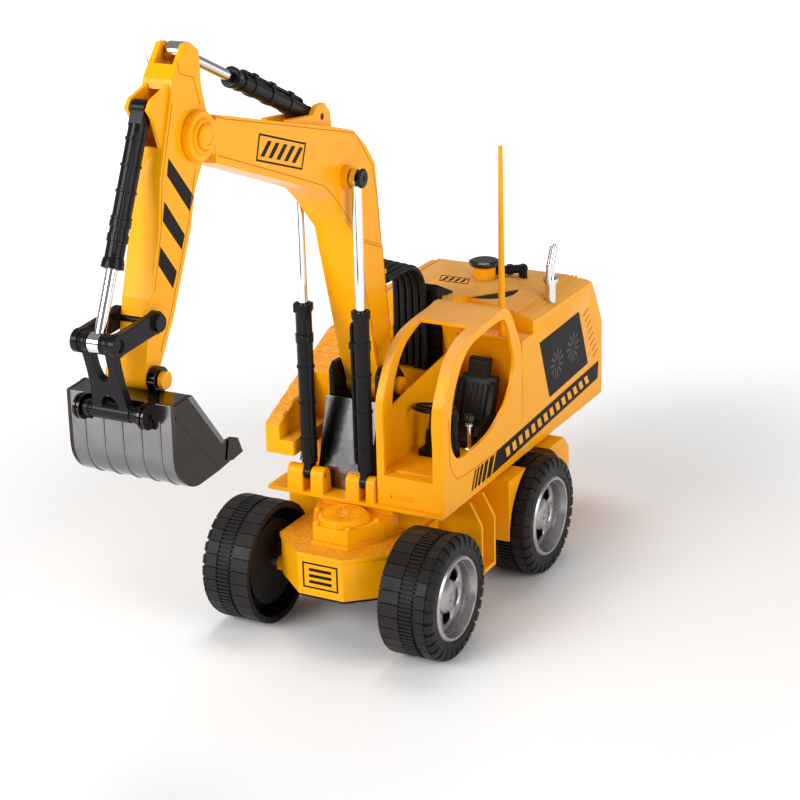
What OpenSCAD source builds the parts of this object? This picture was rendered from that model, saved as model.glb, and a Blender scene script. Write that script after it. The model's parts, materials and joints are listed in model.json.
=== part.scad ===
// Toy wheeled excavator: a four-wheeled carrier, a slewing upper body with cab and engine housing,
// and a boom, stick and bucket worked by four dummy cylinders.
// X points forward, Y to the cab side, Z up; the origin lies on the ground under the slew axis.

/* [Carrier] */
// distance between the front and rear axles
wheelbase = 122; // [119:0.5:126]
// outside radius of the tyres, also the height of the axles
tyre_r = 35; // [33:0.5:36]
// half width between the inner faces of the tyres
track_in = 40.4; // [40:0.1:44]
// width of one tyre
tyre_w = 31; // [26:0.5:36]
// radius where the tyre sits on the rim
rim_r = 24; // [23:0.5:26]
// number of lugs around each tyre
lug_count = 30; // [12:1:40]
// number of windows in each rim
rim_windows = 7; // [5:1:8]
// half width of the carrier body between the wheels
body_hw = 35; // [33:0.5:36]
// front and rear end of the carrier body, from the slew axis
nose_x = 85.2; // [82:0.5:90]
// radius of the embossed cap on the nose
cap_r = 14.8; // [12:0.1:15]

/* [Upper body] */
// half width of the deck, cab and housing
deck_hw = 55; // [54:0.5:58]
// wall thickness of the moulded shells
wall = 2; // [1.6:0.1:2.4]
// front edge of the deck
deck_front = 46.3; // [46:0.1:48]
// height of the antenna tip
antenna_top = 253; // [200:1:300]
// radius of the steering wheel
steer_r = 12.9; // [10:0.1:13]
// number of ribs on the walkway
step_count = 7; // [4:1:9]

/* [Arm] */
// sideways position of the middle of the arm
arm_y = -12; // [-12.4:0.1:-11.6]
// half width of the boom
boom_hw = 11.4; // [11:0.1:11.6]
// half width of the stick
stick_hw = 8; // [7.6:0.1:8.05]
// half width of the bucket
bucket_hw = 30; // [26:0.5:36]
// distance of each lift cylinder from the middle of the arm
lift_off = 17.8; // [17.6:0.1:18]
// outside radius of the cylinder barrels
barrel_r = 4.5; // [4.3:0.1:4.6]
// bore radius of the cylinder barrels
bore_r = 3.3; // [3.1:0.05:3.5]
// radius of the chromed rods
rod_r = 2.7; // [2.4:0.1:2.8]
// radius of the pins that carry the cylinders
pin_r = 1.8; // [1.5:0.1:1.9]

/* [Hidden] */
eps = 0.01;
fit = 0.08;
axle_x = wheelbase / 2;
body_z0 = 32;
body_z1 = 57;
stand_z = 70.5;
deck_z0 = 71.8;
deck_z1 = 74;
hub_r = 2.5;
p_steer0 = [7, 95];
p_steer1 = [2.6, 116];
p_foot = [0, 127];
p_lift0 = [41.5, 84];
p_lift1 = [41.3, 256];
p_stick = [173.3, 306.3];
p_scyl0 = [57, 291];
p_scyl1 = [171, 344.5];
p_bcyl0 = [203, 325];
p_rock = [219, 229.5];
p_link = [249, 227.5];
p_buck = [220.5, 202.5];
p_bar = [241, 192];
yellow = [0.98, 0.68, 0.05];
black = [0.07, 0.07, 0.08];
steel = [0.8, 0.8, 0.82];

// ---- shared shapes ----

// extrudes a side profile (x, z) across y0..y1
module side(y0, y1) {
    translate([0, y1, 0]) rotate([90, 0, 0]) linear_extrude(y1 - y0) children();
}

// a shaft along Y through the point p of the side view
module cross_pin(p, y0, y1, r) {
    translate([p[0], y0, p[1]]) rotate([-90, 0, 0]) cylinder(h = y1 - y0, r = r);
}

// both hands of whatever is drawn around y = 0
module both() {
    children();
    mirror([0, 1, 0]) children();
}

// places a thing drawn along +Z from the origin so that it runs from a towards b in the side view
module along(a, b, y = 0) {
    translate([a[0], y, a[1]]) rotate([0, atan2(b[0] - a[0], b[1] - a[1]), 0]) children();
}

module on_arm() {
    translate([0, arm_y, 0]) children();
}

function dist(a, b) = sqrt((a[0] - b[0]) * (a[0] - b[0]) + (a[1] - b[1]) * (a[1] - b[1]));

// places a wheel drawn with its inner face at z = track_in and its outer face away from the body
module at_wheel(front, left) {
    translate([front ? axle_x : -axle_x, 0, tyre_r])
        mirror([0, left ? 0 : 1, 0]) rotate([-90, 0, 0]) children();
}

// ---- carrier ----

module body_plan() {
    polygon([[nose_x, -14], [nose_x, 14], [67.2, body_hw], [-67.2, body_hw], [-nose_x, 14],
        [-nose_x, -14], [-67.2, -body_hw], [67.2, -body_hw]]);
}

module stand_plan() {
    polygon([[42, -22], [42, 22], [31, 33], [-31, 33], [-42, 22], [-42, -22], [-31, -33], [31, -33]]);
}

// step on the nose and on the tail under the turret
module pedestal_plan() {
    polygon([[40, -25], [52, -22], [73, -10.7], [73, 10.7], [52, 22], [40, 25]]);
}

module fender_profile() {
    difference() {
        polygon([[-21.5, 33], [-21.5, 70], [-98, 70], [-106, 62], [-106, 44], [-96, 38]]);
        translate([-axle_x, tyre_r]) circle(r = tyre_r + 3.5);
    }
}

module step_bracket(x) {
    translate([x - 1, 0, 0]) rotate([90, 0, 90]) linear_extrude(2)
        polygon([[body_hw - 2, 69], [55, 69], [62, 56], [62, 26], [57, 26], [50, 40], [body_hw - 2, 46]]);
}

module chassis_shell() {
    color(yellow) difference() {
        union() {
            translate([0, 0, body_z0]) linear_extrude(body_z1 - body_z0) body_plan();
            translate([0, 0, body_z1 - 2.5]) linear_extrude(2.5) offset(delta = 0.6) body_plan();
            translate([0, 0, body_z1 - eps]) linear_extrude(stand_z - body_z1 + eps) stand_plan();
            for (turn = [0, 180]) rotate([0, 0, turn]) {
                translate([0, 0, body_z1 - eps]) linear_extrude(10.7 + eps) pedestal_plan();
                translate([0, 0, body_z1 - eps]) linear_extrude(2.4) offset(delta = 1.2) pedestal_plan();
            }
            for (s = [-1, 1]) for (a = [[70.4, 9.9], [54, 18.4]])
                translate([a[0], s * a[1], 67.6]) cylinder(h = 1, r = 1.2);
            both() {
                side(body_hw - 2, 62.5) fender_profile();
                step_bracket(12);
                step_bracket(-4);
                translate([-5, 55, 26]) cube([18, 7, 2.5]);
                for (x = [-axle_x, axle_x]) cross_pin([x, tyre_r], body_hw - 2, track_in - 0.4, 4.4);
            }
        }
        // hollow inside of the body, the stand and the mudguards
        translate([0, 0, body_z0 - 1]) linear_extrude(body_z1 - body_z0 + 1 - wall)
            offset(delta = -wall) body_plan();
        translate([0, 0, body_z1 - wall - 1]) linear_extrude(stand_z - body_z1 + 1)
            offset(delta = -wall) stand_plan();
        both() side(body_hw - 3, 62.5 - wall) offset(delta = -wall) fender_profile();
        both() for (x = [-axle_x, axle_x])
            cross_pin([x, tyre_r], body_hw - 4, track_in + 1, hub_r + (x > 0 ? 0 : 0.1));
        translate([0, 0, 60]) cylinder(h = 20, r = 10.5);
    }
    // pillars that take the cover screws, inside the hollow
    color(yellow) for (x = [-74, 74]) for (y = [-8, 8])
        translate([x, y, body_z0]) difference() {
            cylinder(h = body_z1 - body_z0 - wall + eps, r = 3);
            translate([0, 0, -1]) cylinder(h = 14, r = 1.2);
        }
}

module cover_plan() {
    difference() {
        offset(delta = -1.5) body_plan();
        for (x = [-axle_x, axle_x]) for (s = [-1, 1])
            translate([x - 5.5, s > 0 ? body_hw - 8 : -body_hw]) square([11, 8]);
    }
}

module chassis_cover() {
    color(black) difference() {
        translate([0, 0, body_z0 - 2]) linear_extrude(2) cover_plan();
        translate([-38.3, -30.3, 20]) cube([58.6, 60.6, 20]);
        for (x = [-74, 74]) for (y = [-8, 8]) translate([x, y, 20]) cylinder(h = 20, r = 1.5);
    }
}

module cover_screws() {
    color(steel) {
        for (x = [-74, 74]) for (y = [-8, 8]) translate([x, y, 0]) {
            translate([0, 0, body_z0 - 3.6]) cylinder(h = 1.6, r = 2.6);
            translate([0, 0, body_z0 - 2.1]) cylinder(h = 13, r = 1.2);
        }
        translate([14, 0, body_z0 - 3.6]) cylinder(h = 1.6, r = 2.6);
        translate([14, 0, body_z0 - 2.1]) cylinder(h = 8, r = 1.2);
    }
}

module battery_door() {
    color(black) difference() {
        union() {
            translate([-38, -30, body_z0 - 2]) cube([58, 60, 2]);
            for (x = [-28 : 6 : 2]) translate([x, -22, body_z0 - 2.6]) cube([2, 44, 1]);
        }
        translate([14, 0, 20]) cylinder(h = 20, r = 1.2);
    }
}

// tray with four cells side by side
module battery_pack() {
    color([0.15, 0.35, 0.2]) {
        difference() {
            translate([-37, -29.5, body_z0]) cube([56, 59, 3]);
            translate([14, 0, body_z0 - 1]) cylinder(h = 8, r = 1.3);
        }
        for (i = [-1.5 : 1 : 1.5]) translate([-36, i * 14.6, body_z0 + 9.5]) rotate([0, 90, 0]) {
            cylinder(h = 48.5, r = 7.2);
            cylinder(h = 50, r = 2.5);
        }
    }
}

// motor and gear case of each rear wheel
module drive_gearboxes() {
    color([0.75, 0.75, 0.72]) both() difference() {
        union() {
            translate([-axle_x - 8, 8, body_z0 + 1]) cube([28, 20, 20]);
            cross_pin([-axle_x, tyre_r], 28 - eps, body_hw - wall - 0.5, 5);
            translate([-axle_x + 6, 2, 46]) rotate([-90, 0, 0]) cylinder(h = 8, r = 6);
        }
        cross_pin([-axle_x, tyre_r], 18, 40, hub_r + 0.1);
    }
}

module front_axle() {
    color(steel) cross_pin([axle_x, tyre_r], -track_in - 23, track_in + 23, hub_r);
}

module nose_cap() {
    color(yellow) translate([57.5, 0, 67.7]) {
        cylinder(h = 1, r = cap_r);
        translate([0, 0, 1 - eps]) cylinder(h = 2, r1 = cap_r - 0.4, r2 = cap_r - 1.9);
        for (a = [0 : 30 : 330]) rotate([0, 0, a]) translate([4.5, -0.7, 2.9]) cube([5, 1.4, 0.5]);
        translate([0, 0, 2.9]) cylinder(h = 0.5, r = 3);
    }
}

module slew_ring() {
    color(steel) translate([0, 0, stand_z]) difference() {
        cylinder(h = 1, r = 20);
        translate([0, 0, -1]) cylinder(h = 3, r = 11);
    }
}

module slew_gearbox() {
    color([0.75, 0.75, 0.72]) difference() {
        union() {
            translate([0, 0, 50]) cylinder(h = stand_z - wall - 50, r = 17);
            translate([-29, -8, 50.5]) cube([18, 16, 14]);
        }
        translate([0, 0, 49]) cylinder(h = 30, r = 8 + fit);
    }
}

// ---- wheels ----

// tread section with lugs of the given depth cut into its rim
module lug_ring(n, depth, duty) {
    difference() {
        circle(r = tyre_r);
        for (i = [0 : n - 1]) rotate([0, 0, i * 360 / n])
            translate([tyre_r - depth, -PI * tyre_r / n * (1 - duty)])
                square([depth + 2, 2 * PI * tyre_r / n * (1 - duty)]);
    }
}

module tyre(front, left) {
    color(black) at_wheel(front, left) translate([0, 0, track_in]) difference() {
        union() {
            linear_extrude(tyre_w * 0.4) lug_ring(lug_count, 1.6, 0.62);
            translate([0, 0, tyre_w * 0.4 - eps]) linear_extrude(tyre_w * 0.25)
                lug_ring(lug_count * 2, 0.6, 0.6);
            cylinder(h = tyre_w - 1, r = tyre_r - 1.8);
            translate([0, 0, tyre_w * 0.69]) linear_extrude(tyre_w * 0.28)
                lug_ring(lug_count, 1.6, 0.62);
            translate([0, 0, tyre_w - 1 - eps]) cylinder(h = 1, r1 = tyre_r - 1.8, r2 = tyre_r - 4);
        }
        translate([0, 0, -1]) cylinder(h = tyre_w + 2, r = rim_r);
        translate([0, 0, -1]) cylinder(h = 6, r = tyre_r - 4.5);
    }
}

module rim(front, left) {
    color([0.62, 0.64, 0.66]) at_wheel(front, left) difference() {
        translate([0, 0, track_in]) rotate_extrude() polygon([[0, 5], [6.5, 5], [6.5, 17],
            [rim_r - 2, 20.5], [rim_r - 2, 5], [rim_r, 5], [rim_r, tyre_w], [rim_r - 2.4, tyre_w + 0.3],
            [rim_r - 3.6, 23.5], [9.5, 20], [7.5, 26.5], [0, 27]]);
        translate([0, 0, 1]) cylinder(h = track_in + 22.2, r = hub_r + 0.05);
        translate([0, 0, track_in + 10]) linear_extrude(20) for (i = [0 : rim_windows - 1])
            rotate([0, 0, i * 360 / rim_windows]) intersection() {
                difference() {
                    circle(r = rim_r - 5);
                    circle(r = 11);
                }
                polygon([[0, 0], [40, 10.5], [40, -10.5]]);
            }
    }
}

module stub_axle(left) {
    color(steel) mirror([0, left ? 0 : 1, 0])
        cross_pin([-axle_x, tyre_r], 20, track_in + 22.5, hub_r);
}

// ---- upper body ----

module lift_ear(y0, y1) {
    side(y0, y1) {
        polygon([[36, deck_z1 - 1], [deck_front, deck_z1 - 1], [p_lift0[0] + 4.3, p_lift0[1]],
            [p_lift0[0] - 4.3, p_lift0[1]]]);
        translate(p_lift0) circle(r = 4.3);
    }
}

module deck_plan() {
    polygon([[deck_front, -deck_hw], [deck_front, deck_hw], [-174, deck_hw], [-181, 48],
        [-181, -48], [-174, -deck_hw]]);
}

module deck_plate() {
    color(yellow) difference() {
        union() {
            translate([0, 0, deck_z0]) linear_extrude(deck_z1 - deck_z0) deck_plan();
            translate([0, 0, 52]) cylinder(h = 20, r = 8);
            for (e = [[-42.2, -32.5], [-27.3, -19.5], [-4.9, 3.3], [7.8, 12.8]]) lift_ear(e[0], e[1]);
            for (x = [-145, -95]) for (y = [-24, 24])
                translate([x, y, deck_z1 - eps]) cylinder(h = 6, r = 2.5);
        }
        cross_pin(p_lift0, -41, 12, pin_r);
        translate([0, 0, 50]) cylinder(h = 30, r = 5.5);
        for (x = [-168, -142]) for (y = [-45, 45]) translate([x, y, 60]) cylinder(h = 30, r = 1.4);
    }
}

// side view of the engine housing
module housing_profile() {
    polygon([[-182.5, 70], [-183.5, 99.5], [-165, 137], [-158, 148.3], [-150, 154],
        [-120, 158], [-72, 160], [-72, 70]]);
}

// view from the rear that bevels the long edges of the hood
module hood_section() {
    polygon([[-deck_hw, 70], [deck_hw, 70], [deck_hw, 149], [deck_hw - 2.5, 151.3], [45, 152.2],
        [43, 154], [16, 158.5], [-22, 158.5], [-43, 154], [-45, 152.2], [-deck_hw + 2.5, 151.3],
        [-deck_hw, 149]]);
}

// the rear body; g shrinks every wall so that the same blocks also make the hollow inside
module hood_block(g) {
    intersection() {
        side(-deck_hw + g, deck_hw - g) offset(delta = -g) housing_profile();
        translate([-200, 0, 0]) rotate([90, 0, 90]) linear_extrude(160) offset(delta = -g) hood_section();
        translate([0, 0, 60]) linear_extrude(120) offset(delta = -g)
            polygon([[0, -deck_hw], [0, deck_hw], [-174, deck_hw], [-180.5, 52], [-184, 46],
                [-184, -46], [-180.5, -52], [-174, -deck_hw]]);
    }
}

module housing_blocks(g) {
    hood_block(g);
    side(-25 + g, 13.5 - g) offset(delta = -g)
        polygon([[-78, 70], [-78, 157.8], [-54, 164], [-50, 160], [-50, 70]]);
    side(13.5 - 3 + g, deck_hw - g) offset(delta = -g)
        polygon([[-78, 70], [-78, 142], [-57, 142], [-57, 70]]);
    side(-deck_hw + g, -22 - g) offset(delta = -g)
        polygon([[-78, 70], [-78, 148], [-70, 144.6], [-45.3, 144.6], [-45.3, 70]]);
    side(-20 + g, 13.5 - g) offset(delta = -g)
        polygon([[-56, 70], [-56, 121], [-37, 120], [-14, 112], [-14, 70]]);
}

// dome in the middle of the hood, and the crescent let into the slope beside it
module dome_plan(cut) {
    difference() {
        translate([-97.5, 4.5]) circle(r = 27.5);
        if (cut) translate([-88.5, 23]) rotate(-26) translate([-25, 0]) square([50, 10]);
    }
}

module crescent_plan() {
    intersection() {
        dome_plan(false);
        translate([-88.5, 23]) rotate(-26) translate([-25, 0.4]) square([50, 10]);
    }
}

module on_hood_slope() {
    translate([0, 16, 158.5]) rotate([-9.46, 0, 0]) translate([0, -16, 0]) children();
}

// screw boss inside the housing, joined to the side wall by a rib
module housing_boss(x, h) {
    translate([x, 45, deck_z1]) difference() {
        union() {
            cylinder(h = h, r = 3.5);
            translate([-1, 0, 0]) cube([2, 8.6, h]);
        }
        translate([0, 0, -1]) cylinder(h = 9, r = 1.2);
    }
}

module engine_housing() {
    color(yellow) difference() {
        union() {
            housing_blocks(0);
            intersection() {
                translate([0, 0, 0.7]) hood_block(0);
                translate([0, 0, 150]) linear_extrude(20) dome_plan(true);
            }
            both() for (y = [43.4, 46]) translate([-154, y, 151]) cube([82, 1, 1.8]);
            translate([-111, 5.5, 156]) cylinder(h = 10.5, r = 6.6);
        }
        housing_blocks(wall);
        on_hood_slope() translate([0, 0, -0.85]) linear_extrude(4) offset(delta = 0.2) crescent_plan();
        translate([-200, -100, 60]) cube([220, 200, deck_z1 - 60]);
        // rows of cooling slots near the rear corners
        both() for (i = [0 : 7]) translate([-148.5 - i * 2.2, deck_hw - 0.6, 132 - i * 4.4])
            rotate([0, 25, 0]) cube([7, 2, 1.2], center = true);
        translate([-62, 40, 120]) cylinder(h = 30, r = 2.2);
        translate([-111, 5.5, 150]) cylinder(h = 30, r = 3);
        translate([-106.5, 50.4, 140]) cylinder(h = 30, r = 3.3);
        translate([-125.5, 24, 140]) cylinder(h = 30, r = 2.7);
    }
    color(yellow) both() {
        housing_boss(-168, 38);
        housing_boss(-142, 60);
    }
}

module hood_inlay() {
    color(black) on_hood_slope() translate([0, 0, -0.8]) linear_extrude(1.1) crescent_plan();
}

module front_grille() {
    color(black) intersection() {
        side(-21.7, 12) difference() {
            polygon([[-50, 121.5], [-48, 121.5], [-48, 168], [-51.5, 171], [-66, 163.5], [-66, 162],
                [-54, 164.2], [-50, 160.2]]);
            for (i = [0 : 5]) translate([-48.5, 126 + i * 6]) square([1, 2]);
        }
        translate([-80, 0, 0]) rotate([90, 0, 90]) linear_extrude(60)
            polygon([[-22, 120], [8, 120], [8, 159], [3.5, 173], [-22, 173]]);
    }
}

module platform_profile() {
    polygon([[-45, deck_z1], [-45, 144.6], [-28, 144.6], [44.8, 111.9], [deck_front, 110.4],
        [deck_front, 94], [5, 94], [5, deck_z1]]);
}

// room beside the arm, and the lower shelf next to it; g widens both so that a wall is left
module platform_recess(g) {
    translate([5 - g, -37.2 - g, 90]) cube([60, 20, 60]);
    translate([5 - g, -46 - g, 102.7 - g]) cube([60, 30, 60]);
}

module right_platform() {
    color(yellow) difference() {
        union() {
            difference() {
                side(-deck_hw, -30) platform_profile();
                platform_recess(0);
            }
            for (i = [0 : step_count - 1]) {
                x = 38 - i * 60 / (step_count - 1);
                low = x > 7;
                translate([x, low ? -54.5 : -49, 111.9 + (44.8 - x) * 0.449 - 0.6]) rotate([0, 24.2, 0])
                    translate([-2.4, 0, 0]) cube([4.8, low ? 8 : 11, 1.6]);
            }
        }
        difference() {
            side(-deck_hw + wall, -30 - wall) offset(delta = -wall) platform_profile();
            platform_recess(wall);
        }
        translate([-43, -deck_hw + wall, deck_z1 - 1]) cube([46, 23 - 2 * wall, 6]);
        translate([7, -deck_hw + wall, 90]) cube([deck_front - 9, deck_hw - 37.2 - 2 * wall, 8]);
    }
}

// outline of the cab from the side
module cab_profile() {
    polygon([[-56.8, deck_z1], [43.7, deck_z1], [43.3, 111.7], [43.9, 123.4], [42.3, 134.2],
        [35.9, 146.3], [28.3, 156.8], [16.1, 163.7], [1.3, 166.5], [-17.5, 167.7], [-36.8, 167.7],
        [-49.7, 150.9], [-56.8, 134]]);
}

module door_profile() {
    polygon([[25, 100], [33, 108], [34.5, 120], [32.5, 131], [27, 143.5], [18.5, 154], [9.7, 159.5],
        [-2.7, 161.6], [-28, 163], [-33, 162.6], [-38, 157], [-43, 144], [-46, 134], [-43, 123],
        [-36, 113], [-27, 107.6], [-14, 102], [-1, 100]]);
}

module cab_frame() {
    color(yellow) difference() {
        side(13.8, deck_hw) cab_profile();
        side(13.8 + wall, deck_hw - wall) difference() {
            offset(delta = -wall) cab_profile();
            polygon([[-60, 70], [-60, 92], [46, 92], [46, 70]]);
        }
        side(13.8 + wall, deck_hw - wall) polygon([[-54, deck_z1 - 1], [41, deck_z1 - 1], [41, 90],
            [-54, 90]]);
        side(deck_hw - wall - 1, deck_hw + 1) door_profile();
        side(12, 14 + wall) polygon([[27.4, 124.9], [25.7, 134], [20.4, 145], [11.8, 154.7],
            [0.8, 160], [-9, 162.4], [-34, 162.4], [-43, 134.3]]);
        // windscreen opening in the front, and the open back above the ledge
        side(13.8 + 4.5, deck_hw - 7) polygon([[60, 91], [36, 91], [30, 120], [10, 150], [-3, 158],
            [-3, 172], [60, 172]]);
        side(13.8 + wall, deck_hw - wall) polygon([[-70, 144], [-46, 144], [-34.5, 165.7],
            [-38, 170], [-70, 170]]);
        translate([42.6, 22, 78]) cube([4, 14, 2]);
    }
}

module cab_seat() {
    color(black) {
        translate([-38, 22, 92]) cube([30, 24, 8]);
        translate([-40, 20, 96]) cube([26, 3, 8]);
        translate([-40, 45, 96]) cube([26, 3, 8]);
        side(23, 45) polygon([[-33, 98], [-40, 98], [-48.5, 121], [-43.5, 121]]);
        side(25.8, 38.6) polygon([[-43, 119], [-48, 119], [-51.5, 131], [-47, 132]]);
    }
}

module steering_column() {
    color(black) {
        translate([2, 23, 92]) cube([10, 12, 4]);
        along(p_steer0, p_steer1, 29) cylinder(h = 21.8, r = 2.6);
        along(p_steer0, p_steer1, 29) translate([0, 0, -1]) cylinder(h = 12, r = 4);
        // stalk beside the door
        translate([13.5, 46.6, 92]) {
            cylinder(h = 12, r1 = 3.4, r2 = 2.4);
            cylinder(h = 28, r = 1.5);
            translate([0, 0, 25]) cylinder(h = 4, r = 2.4);
        }
    }
}

module steering_wheel() {
    color(black) along(p_steer0, p_steer1, 29) translate([0, 0, 23]) {
        rotate_extrude() translate([steer_r - 1.3, 0]) circle(r = 1.3);
        cylinder(h = 2, r = 3.5, center = true);
        for (a = [30, 150, 270]) rotate([0, 0, a]) translate([2, -1, -0.7]) cube([steer_r - 3.5, 2, 1.4]);
    }
}

// lever that rocks in a small socket beside the seat
module control_lever() {
    color(steel) translate([-4.5, 46.5, 0]) {
        translate([0, 0, 93.5]) cylinder(h = 17, r = 1.1);
        translate([0, 0, 112.3]) sphere(r = 2.8);
        cross_pin([0, 93.4], -1.8, 1.8, 1.2);
    }
}

module antenna() {
    color(yellow) translate([-62, 40, 138]) cylinder(h = antenna_top - 138, r1 = 2.1, r2 = 1.3);
}

module exhaust_pipes() {
    lean = 28;
    color(steel) translate([-106.5, 50.4, 149]) {
        cylinder(h = 14.5, r = 3.2);
        translate([0, 0, 14]) cylinder(h = 2, r = 4.6);
        for (x = [-2.1, 2.1]) translate([x, 0, 15.5]) {
            cylinder(h = 9, r = 1.75);
            translate([0, 0, 8.2]) rotate([0, -lean, 0]) cylinder(h = 12, r = 1.7);
        }
    }
}

module intake_cap() {
    color(black) translate([-111, 5.5, 166.5]) {
        cylinder(h = 1, r1 = 8.4, r2 = 9.3);
        translate([0, 0, 1 - eps]) cylinder(h = 1.6, r = 9.3);
        translate([0, 0, 2.6 - eps]) cylinder(h = 0.8, r1 = 9, r2 = 7.4);
    }
}

// bent pipe from the hood to the stem under the intake cap
module intake_elbow() {
    color(black) translate([-125.5, 24, 0]) {
        translate([0, 0, 152]) cylinder(h = 10.5, r = 2.6);
        translate([0, 0, 162.5]) sphere(r = 3);
        translate([0, 0, 162.5]) rotate([0, 90, atan2(-18.5, 14.5)]) {
            cylinder(h = 16.7, r = 2.6);
            translate([0, 0, 6.5]) cylinder(h = 3, r = 3.3);
        }
    }
}

module bracket_profile() {
    polygon([[-9.5, deck_z1], [31, deck_z1], [20.3, 121], [20, 138], [16.5, 142], [9, 142],
        [-3, 137.5], [-9.5, 130]]);
}

module boom_bracket() {
    color(black) on_arm() difference() {
        union() {
            both() side(13, 16) bracket_profile();
            translate([-9.5, -16, deck_z1]) cube([39.5, 32, 3]);
            both() cross_pin(p_foot, 15, 17, 6.5);
        }
        cross_pin(p_foot, -20, 20, 3);
    }
}

module guard_plate() {
    color(black) on_arm() side(-16.8, 16.8)
        polygon([[20.6, 123.5], [22.4, 124], [34.6, 84], [34.6, deck_z1], [31.3, deck_z1], [20.6, 120.5]]);
}

module lift_base_pins() {
    color(steel) cross_pin(p_lift0, -41, 12, pin_r);
}

module boom_foot_pin() {
    color(yellow) on_arm() {
        cross_pin(p_foot, -17.8, 18, 3);
        cross_pin(p_foot, 17, 19.5, 5);
        cross_pin(p_foot, -17.8, -17, 5);
    }
}

module circuit_board() {
    color([0.1, 0.4, 0.2]) difference() {
        union() {
            translate([-150, -29, deck_z1 + 6]) cube([60, 58, 1.6]);
            translate([-130, -10, deck_z1 + 7.5]) cube([14, 14, 2.5]);
            translate([-106, 8, deck_z1 + 7.5]) cylinder(h = 9, r = 4);
            translate([-140, 12, deck_z1 + 7.5]) cube([9, 9, 6]);
        }
        for (x = [-145, -95]) for (y = [-24, 24]) translate([x, y, deck_z1]) cylinder(h = 20, r = 1.2);
    }
}

module housing_screws() {
    color(steel) {
        for (x = [-168, -142]) for (y = [-45, 45]) translate([x, y, deck_z0 - 1.4]) {
            cylinder(h = 1.4, r = 2.6);
            cylinder(h = 9, r = 1.2);
        }
        for (x = [-145, -95]) for (y = [-24, 24]) translate([x, y, deck_z1 + 7.6]) cylinder(h = 1.2, r = 2.2);
    }
}

// printed window panel, band and slanted bars on both flanks
module side_stickers() {
    color(black) both() side(deck_hw, deck_hw + 0.3) {
        polygon([[-80.8, 133.5], [-137.6, 135.4], [-151.8, 98.3], [-94.9, 95.3]]);
        polygon([[-168.4, 94.3], [-167, 83.5], [-16, 75.7], [-22, 87.4]]);
        for (a = [[-13.5, 5], [-6, 3.8], [0.2, 2.8], [5.2, 1.9], [9.4, 1.2]])
            polygon([[a[0], 75.6], [a[0] + a[1], 75.6], [a[0] + a[1] - 5, 86.4], [a[0] - 5, 86.4]]);
    }
}

// hoses that arch from the back of the boom down in front of the grille
module hydraulic_hoses() {
    arch = 21;
    color(black) for (i = [0 : 4]) translate([0, -19 + i * 4.4, -i * 0.4]) {
        translate([-23.5 - eps, 0, 168 + arch]) rotate([0, 90, 0]) cylinder(h = 22.7, r = 1.9);
        translate([-23.5, 0, 168]) rotate([90, 0, 0]) rotate([0, 0, 90])
            rotate_extrude(angle = 90) translate([arch, 0]) circle(r = 1.9);
        translate([-23.5 - arch, 0, 123]) cylinder(h = 45 + eps, r = 1.9);
    }
}

// ---- arm ----

module boom_profile() {
    polygon([[148.4, 310.7], [100, 297.5], [55.2, 285.9], [31.5, 278.7], [18, 267.5], [8.9, 255.8],
        [6.8, 235.5], [-2.9, 146.1], [-7.5, 130], [7.8, 129], [14.7, 145.6], [20, 164.8], [27, 190],
        [33.7, 214.3], [36.5, 225.3], [55.1, 245.2], [64.9, 253.5], [92.2, 264.3], [162.6, 291.3],
        [161, 313.5]]);
}

module boom_shell() {
    color(yellow) on_arm() difference() {
        union() {
            side(-boom_hw, boom_hw) {
                boom_profile();
                translate(p_foot) circle(r = 8);
                translate(p_stick) circle(r = 12);
            }
            both() cross_pin(p_foot, boom_hw - 1, 12.7, 7);
            both() cross_pin(p_lift1, boom_hw - 1, 14.7, 6);
            both() cross_pin(p_stick, boom_hw - 1, 13, 7.5);
            both() side(5, 8) polygon([[47, 280], [49, 292], [54, 297.5], [61, 297.5], [66, 293.5],
                [90, 296], [90, 285]]);
            translate([-1, -11, 183]) cube([5, 22, 11]);
        }
        // hollow inside, closed in front of the fork
        difference() {
            side(-boom_hw + wall, boom_hw - wall) offset(delta = -wall) boom_profile();
            side(-20, 20) polygon([[148, 270], [148, 330], [180, 330], [180, 270]]);
            side(-20, 20) polygon([[-20, 100], [-20, 142], [30, 142], [30, 100]]);
        }
        // fork for the stick
        side(-stick_hw - 0.35, stick_hw + 0.35) {
            translate(p_stick) circle(r = 18);
            translate(p_stick) square([30, 60], center = true);
        }
        side(-4.6, 4.6) translate(p_scyl0) circle(r = 5.4);
        cross_pin(p_foot, -20, 20, 3 + fit);
        cross_pin(p_lift1, -20, 20, pin_r);
        cross_pin(p_stick, -20, 20, 3);
        cross_pin(p_scyl0, -20, 20, pin_r);
        translate([-1.5, -11.5, 185]) cube([2.4, 23, 6.4]);
    }
}

module boom_pins() {
    color(black) on_arm() {
        cross_pin(p_lift1, -21.2, 21.2, pin_r);
        both() cross_pin(p_lift1, 20.9, 22.4, 5.2);
        cross_pin(p_scyl0, -8, 8, pin_r);
    }
    color(yellow) on_arm() {
        cross_pin(p_stick, -13, 13, 3);
        both() cross_pin(p_stick, 13, 15.5, 6.3);
    }
}

module stick_profile() {
    polygon([[173, 349.7], [166.5, 345], [166.2, 328.7], [162.8, 315.3], [162.6, 300], [169.4, 291.6],
        [176.4, 281.3], [182, 263.4], [200.7, 225.8], [214.5, 205], [226.5, 205], [217.6, 239.5],
        [207.6, 270.1], [204.1, 292.6], [198.1, 309.8], [192, 326.9], [189.4, 335.6], [177.2, 349.7]]);
}

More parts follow.
